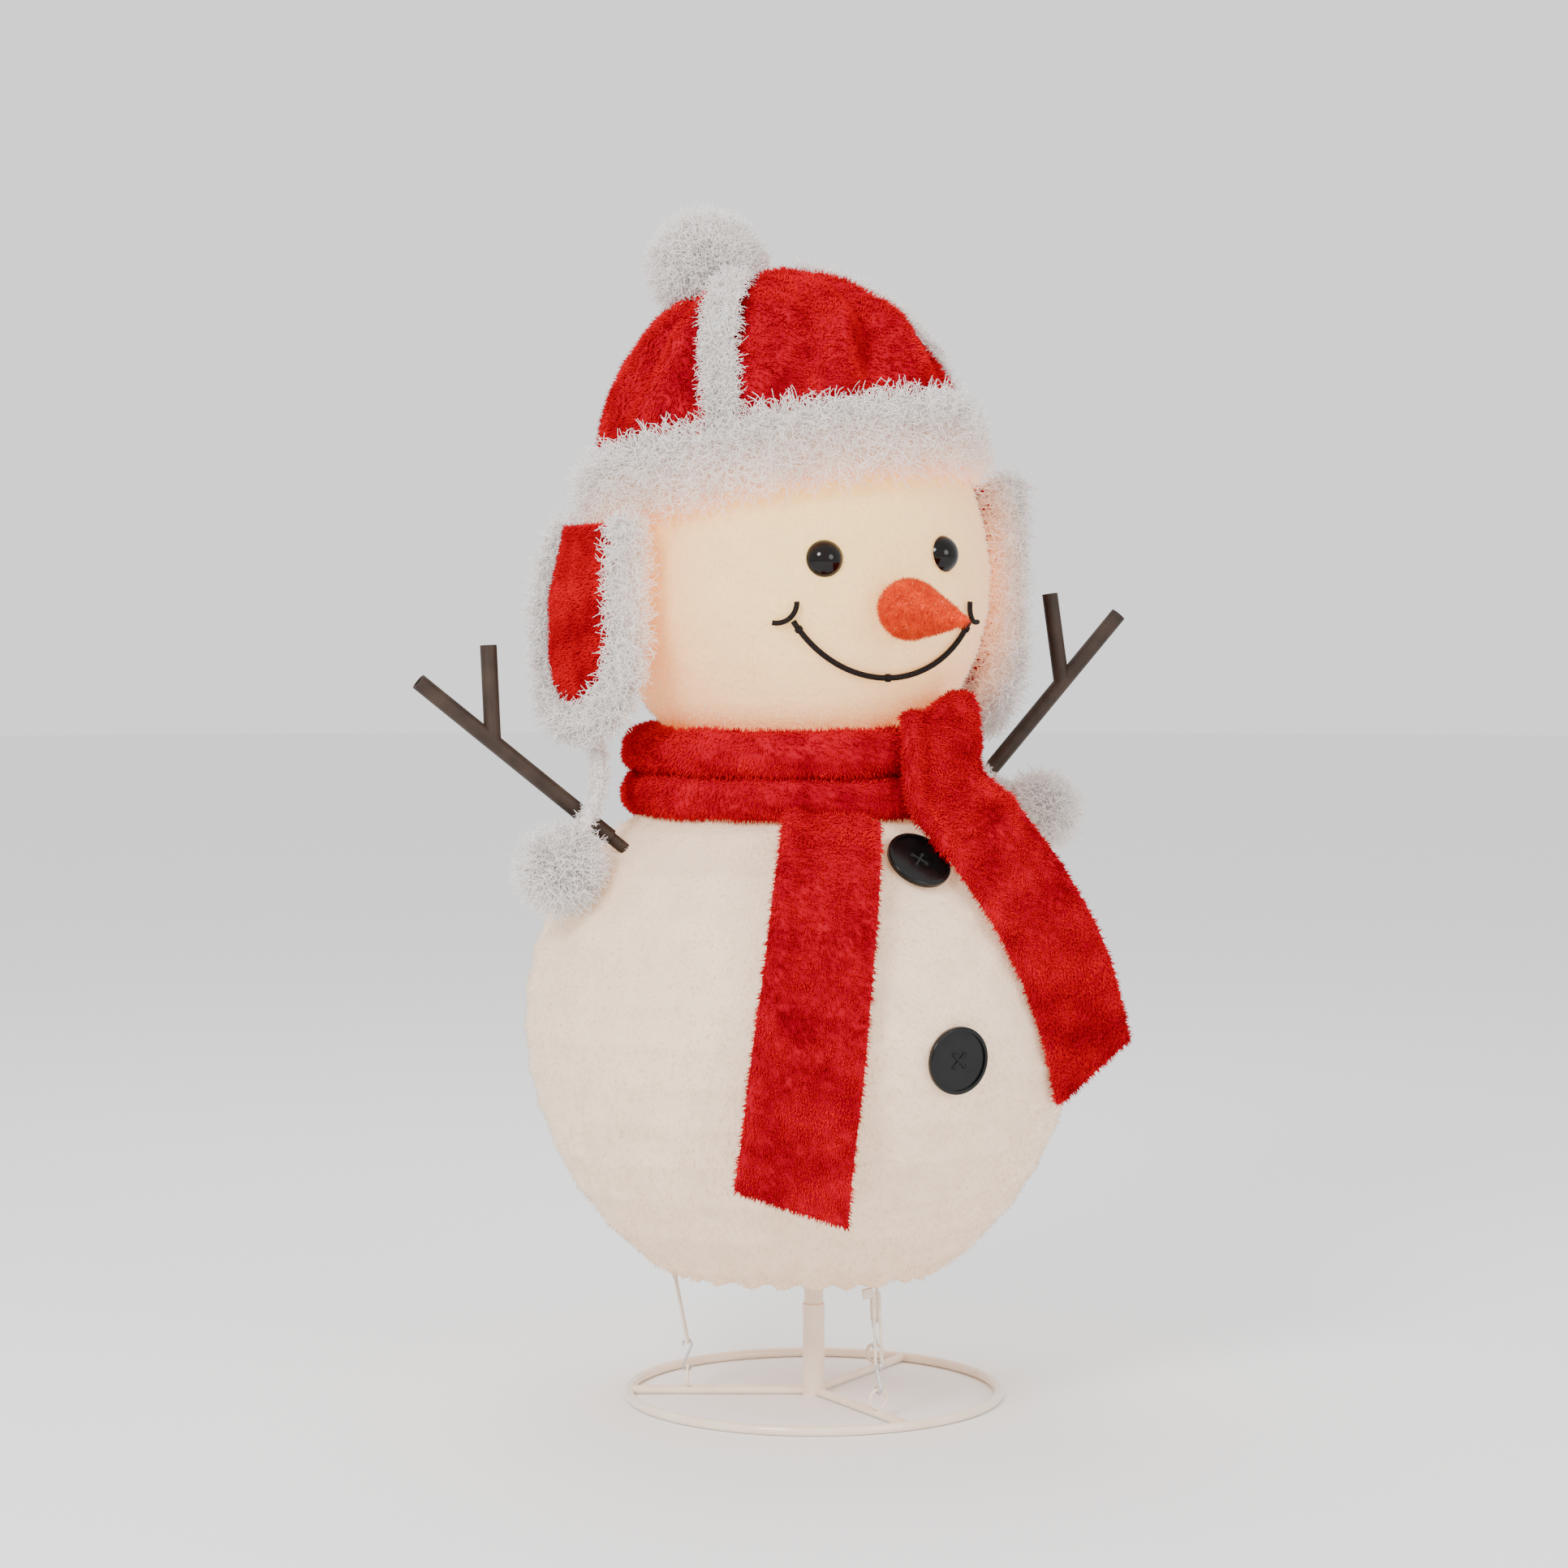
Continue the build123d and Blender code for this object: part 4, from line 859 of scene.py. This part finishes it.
def hat_brim():
    azimuth = np.linspace(0, 360, 280, endpoint=False)[:, None]
    turn = np.linspace(0, 2 * pi, 56, endpoint=False)[None]
    x = np.sign(np.cos(turn)) * np.abs(np.cos(turn)) ** 0.7
    y = np.sign(np.sin(turn)) * np.abs(np.sin(turn)) ** 0.7
    local = outward(azimuth) * (0.1405 + 0.0085 * x)[..., None] + (0.0245 * y)[..., None] * np.array(UP)
    grid = local @ crown.turn + crown.origin
    normal = (outward(azimuth) * np.cos(turn)[..., None] + (0.6 * np.sin(turn))[..., None] * np.array(UP))
    lumps = 0.0026 * ripple(grid, 0.03, 3.0) + 0.0016 * ripple(grid, 0.011, 8.0)
    grid = grid + unit(normal @ crown.turn) * lumps[..., None]
    made = grid_piece("hat_brim_body", head.clear(grid, 0.003), fur_base, "hat_brim", "white_fur", loop=True)
    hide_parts("hat_brim")

    def outside(points, normals):
        away = unit((points - crown.origin) * np.array([1, 1, 0]))
        return ((normals * away).sum(1) > -0.35) * 1.0

    for number in range(2):
        roots, normals = scatter(made, 7000, outside)
        strands(f"hat_brim_pile_{number}", roots, normals, 0.018, 0.0010, fur_pile, "hat_brim", "white_fur",
                lean=1.0, curl=2.8)


def hat_pompom():
    low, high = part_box("hat_pompom")
    radius = (high.x - low.x) / 2
    centre = ((low.x + high.x) / 2, (low.y + high.y) / 2, high.z - radius)
    grid = crown.clear(ball_rows(centre, radius * 0.70, 48, 72, 0.003, 2.0), 0.006)
    made = grid_piece("hat_pompom_core", grid, fur_base, "pole_top", "white_fur", caps=True)
    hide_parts("hat_pompom")
    for number in range(2):
        roots, normals = scatter(made, 4500)
        strands(f"hat_pompom_pile_{number}", roots, normals, radius * 0.42, 0.0009, fur_pile, "pole_top",
                "white_fur", lean=0.6, curl=1.7, droop=0.15)


hat_crown()
hat_strips()
hat_brim()
hat_pompom()

# ---- ear flaps -------------------------------------------------------------------------------
flap_half, flap_middle_height = 0.048, 0.537 + 0.048
flap_radii = {"left": 0.176, "right": 0.172}
flap_azimuths = {"left": -95.0, "right": 97.0}
flap_rear, flap_flare = {"left": -1, "right": 1}, 0.012


def flap_point(side, across, height, out=0.0):
    """A place on a flap: across its width, at a height, and out from its middle surface."""
    flap_radius = flap_radii[side]
    azimuth = flap_azimuths[side] + np.degrees(across / flap_radius)
    azimuth, height, out = np.broadcast_arrays(azimuth, height, out)
    centre = np.array([head_middle.x, head_middle.y, 0])
    rear = np.clip(0.5 + across * flap_rear[side] / (2 * flap_half), 0, 1.2)
    flare = flap_flare * rear**1.5 * np.clip((flap_levels[side] - height) / 0.045, 0, 1)
    reach = flap_radius + out + flare
    return centre + outward(azimuth) * reach[..., None] + height[..., None] * np.array(UP)


def ear_flap(side):
    body, level = f"flap_{side}", flap_levels[side]
    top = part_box(f"ear_flap_{side}")[1].z
    height = np.linspace(flap_middle_height - flap_half + 0.0008, top - 0.002, 90)[:, None]
    below = np.clip(flap_middle_height - height, 0, flap_half)
    half = np.sqrt(flap_half**2 - below**2)
    turn = np.linspace(0, 2 * pi, 72, endpoint=False)[None]
    x = np.sign(np.cos(turn)) * np.abs(np.cos(turn)) ** 0.5
    swell = 0.0050 * np.sqrt(np.clip(half / flap_half, 0, 1))
    grid = flap_point(side, half * x, height, swell * np.sin(turn) * np.ones_like(height))
    away = unit(grid - np.array([head_middle.x, head_middle.y, 0])) * np.array([1, 1, 0])
    grid = grid + away * (0.0016 * ripple(grid, 0.035, 2.0) + 0.0007 * ripple(grid, 0.012, 6.0))[..., None]
    panel = grid_piece(f"ear_flap_{side}_panel", grid, red_plush, body, "red_plush", caps=True)
    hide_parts(f"ear_flap_{side}")

    def facing_out(points, normals):
        return ((normals * (points - head.origin) * np.array([1, 1, 0])).sum(1) > 0) * 1.0

    def facing_in(points, normals):
        return ((normals * (points - head.origin) * np.array([1, 1, 0])).sum(1) < -0.05) * 1.0

    pile = red_pile_on(panel, f"ear_flap_{side}_pile", body, 12000, facing_out)
    roots, normals = scatter(panel, 2500, facing_in)
    lining = strands(f"ear_flap_{side}_lining", roots, normals, 0.012, 0.0010, fur_pile, body, "white_fur",
                     lean=1.2, curl=2.6)
    middle = flap_half + 0.0125
    angle = np.linspace(-pi / 2, pi / 2, 80)
    bow = np.stack([middle * np.sin(angle), flap_middle_height - middle * np.cos(angle)], -1)
    run = np.linspace(0, 1, 50)[:, None]
    left_run = np.array([-middle, top]) * (1 - run) + bow[:1] * run
    right_run = bow[-1:] * (1 - run) + np.array([middle, top]) * run
    outline = np.concatenate([left_run[:-1], bow, right_run[1:]])
    path = flap_point(side, outline[:, 0], outline[:, 1])
    rim = tube_rows(path, 0.0092, 26)
    rim = rim + unit(rim - path[:, None]) * (0.0016 * ripple(rim, 0.014, 5.0))[..., None]
    trim = grid_piece(f"ear_flap_{side}_trim", head.clear(rim, 0.003), fur_base, body, "white_fur", caps=True)
    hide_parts(f"ear_flap_trim_{side}")
    roots, normals = scatter(trim, 6000)
    curls = strands(f"ear_flap_{side}_curls", roots, normals, 0.016, 0.0010, fur_pile, body, "white_fur",
                    lean=1.0, curl=2.9)
    for made in (panel, pile, lining, trim, curls):
        fold(made)


for side in ("left", "right"):
    ear_flap(side)

# ---- floor and light -------------------------------------------------------------------------
bpy.ops.mesh.primitive_circle_add(vertices=96, radius=14, fill_type="NGON")
floor = bpy.context.object
floor.name = "floor"
floor.data.materials.append(floor_paint)

world = bpy.data.worlds.new("studio")
bpy.context.scene.world = world
world.use_nodes = True
world.node_tree.nodes["Background"].inputs["Color"].default_value = (1, 1, 1, 1)
world.node_tree.nodes["Background"].inputs["Strength"].default_value = 1.3


def softbox(name, place, aim, size, power, colour=(1, 1, 1)):
    data = bpy.data.lights.new(name, "AREA")
    data.shape, data.size, data.energy, data.color = "DISK", size, power, colour
    made = bpy.data.objects.new(name, data)
    bpy.context.scene.collection.objects.link(made)
    made.location = place
    made.rotation_euler = (Vector(aim) - Vector(place)).to_track_quat("-Z", "Y").to_euler()


softbox("key", (-2.2, -1.4, 2.0), (0, 0, 0.45), 0.9, 75)
softbox("fill", (0.6, -2.6, 1.2), (0, 0, 0.45), 1.2, 25)
softbox("top", (0.3, 0.8, 2.6), (0, 0, 0.5), 1.6, 30)
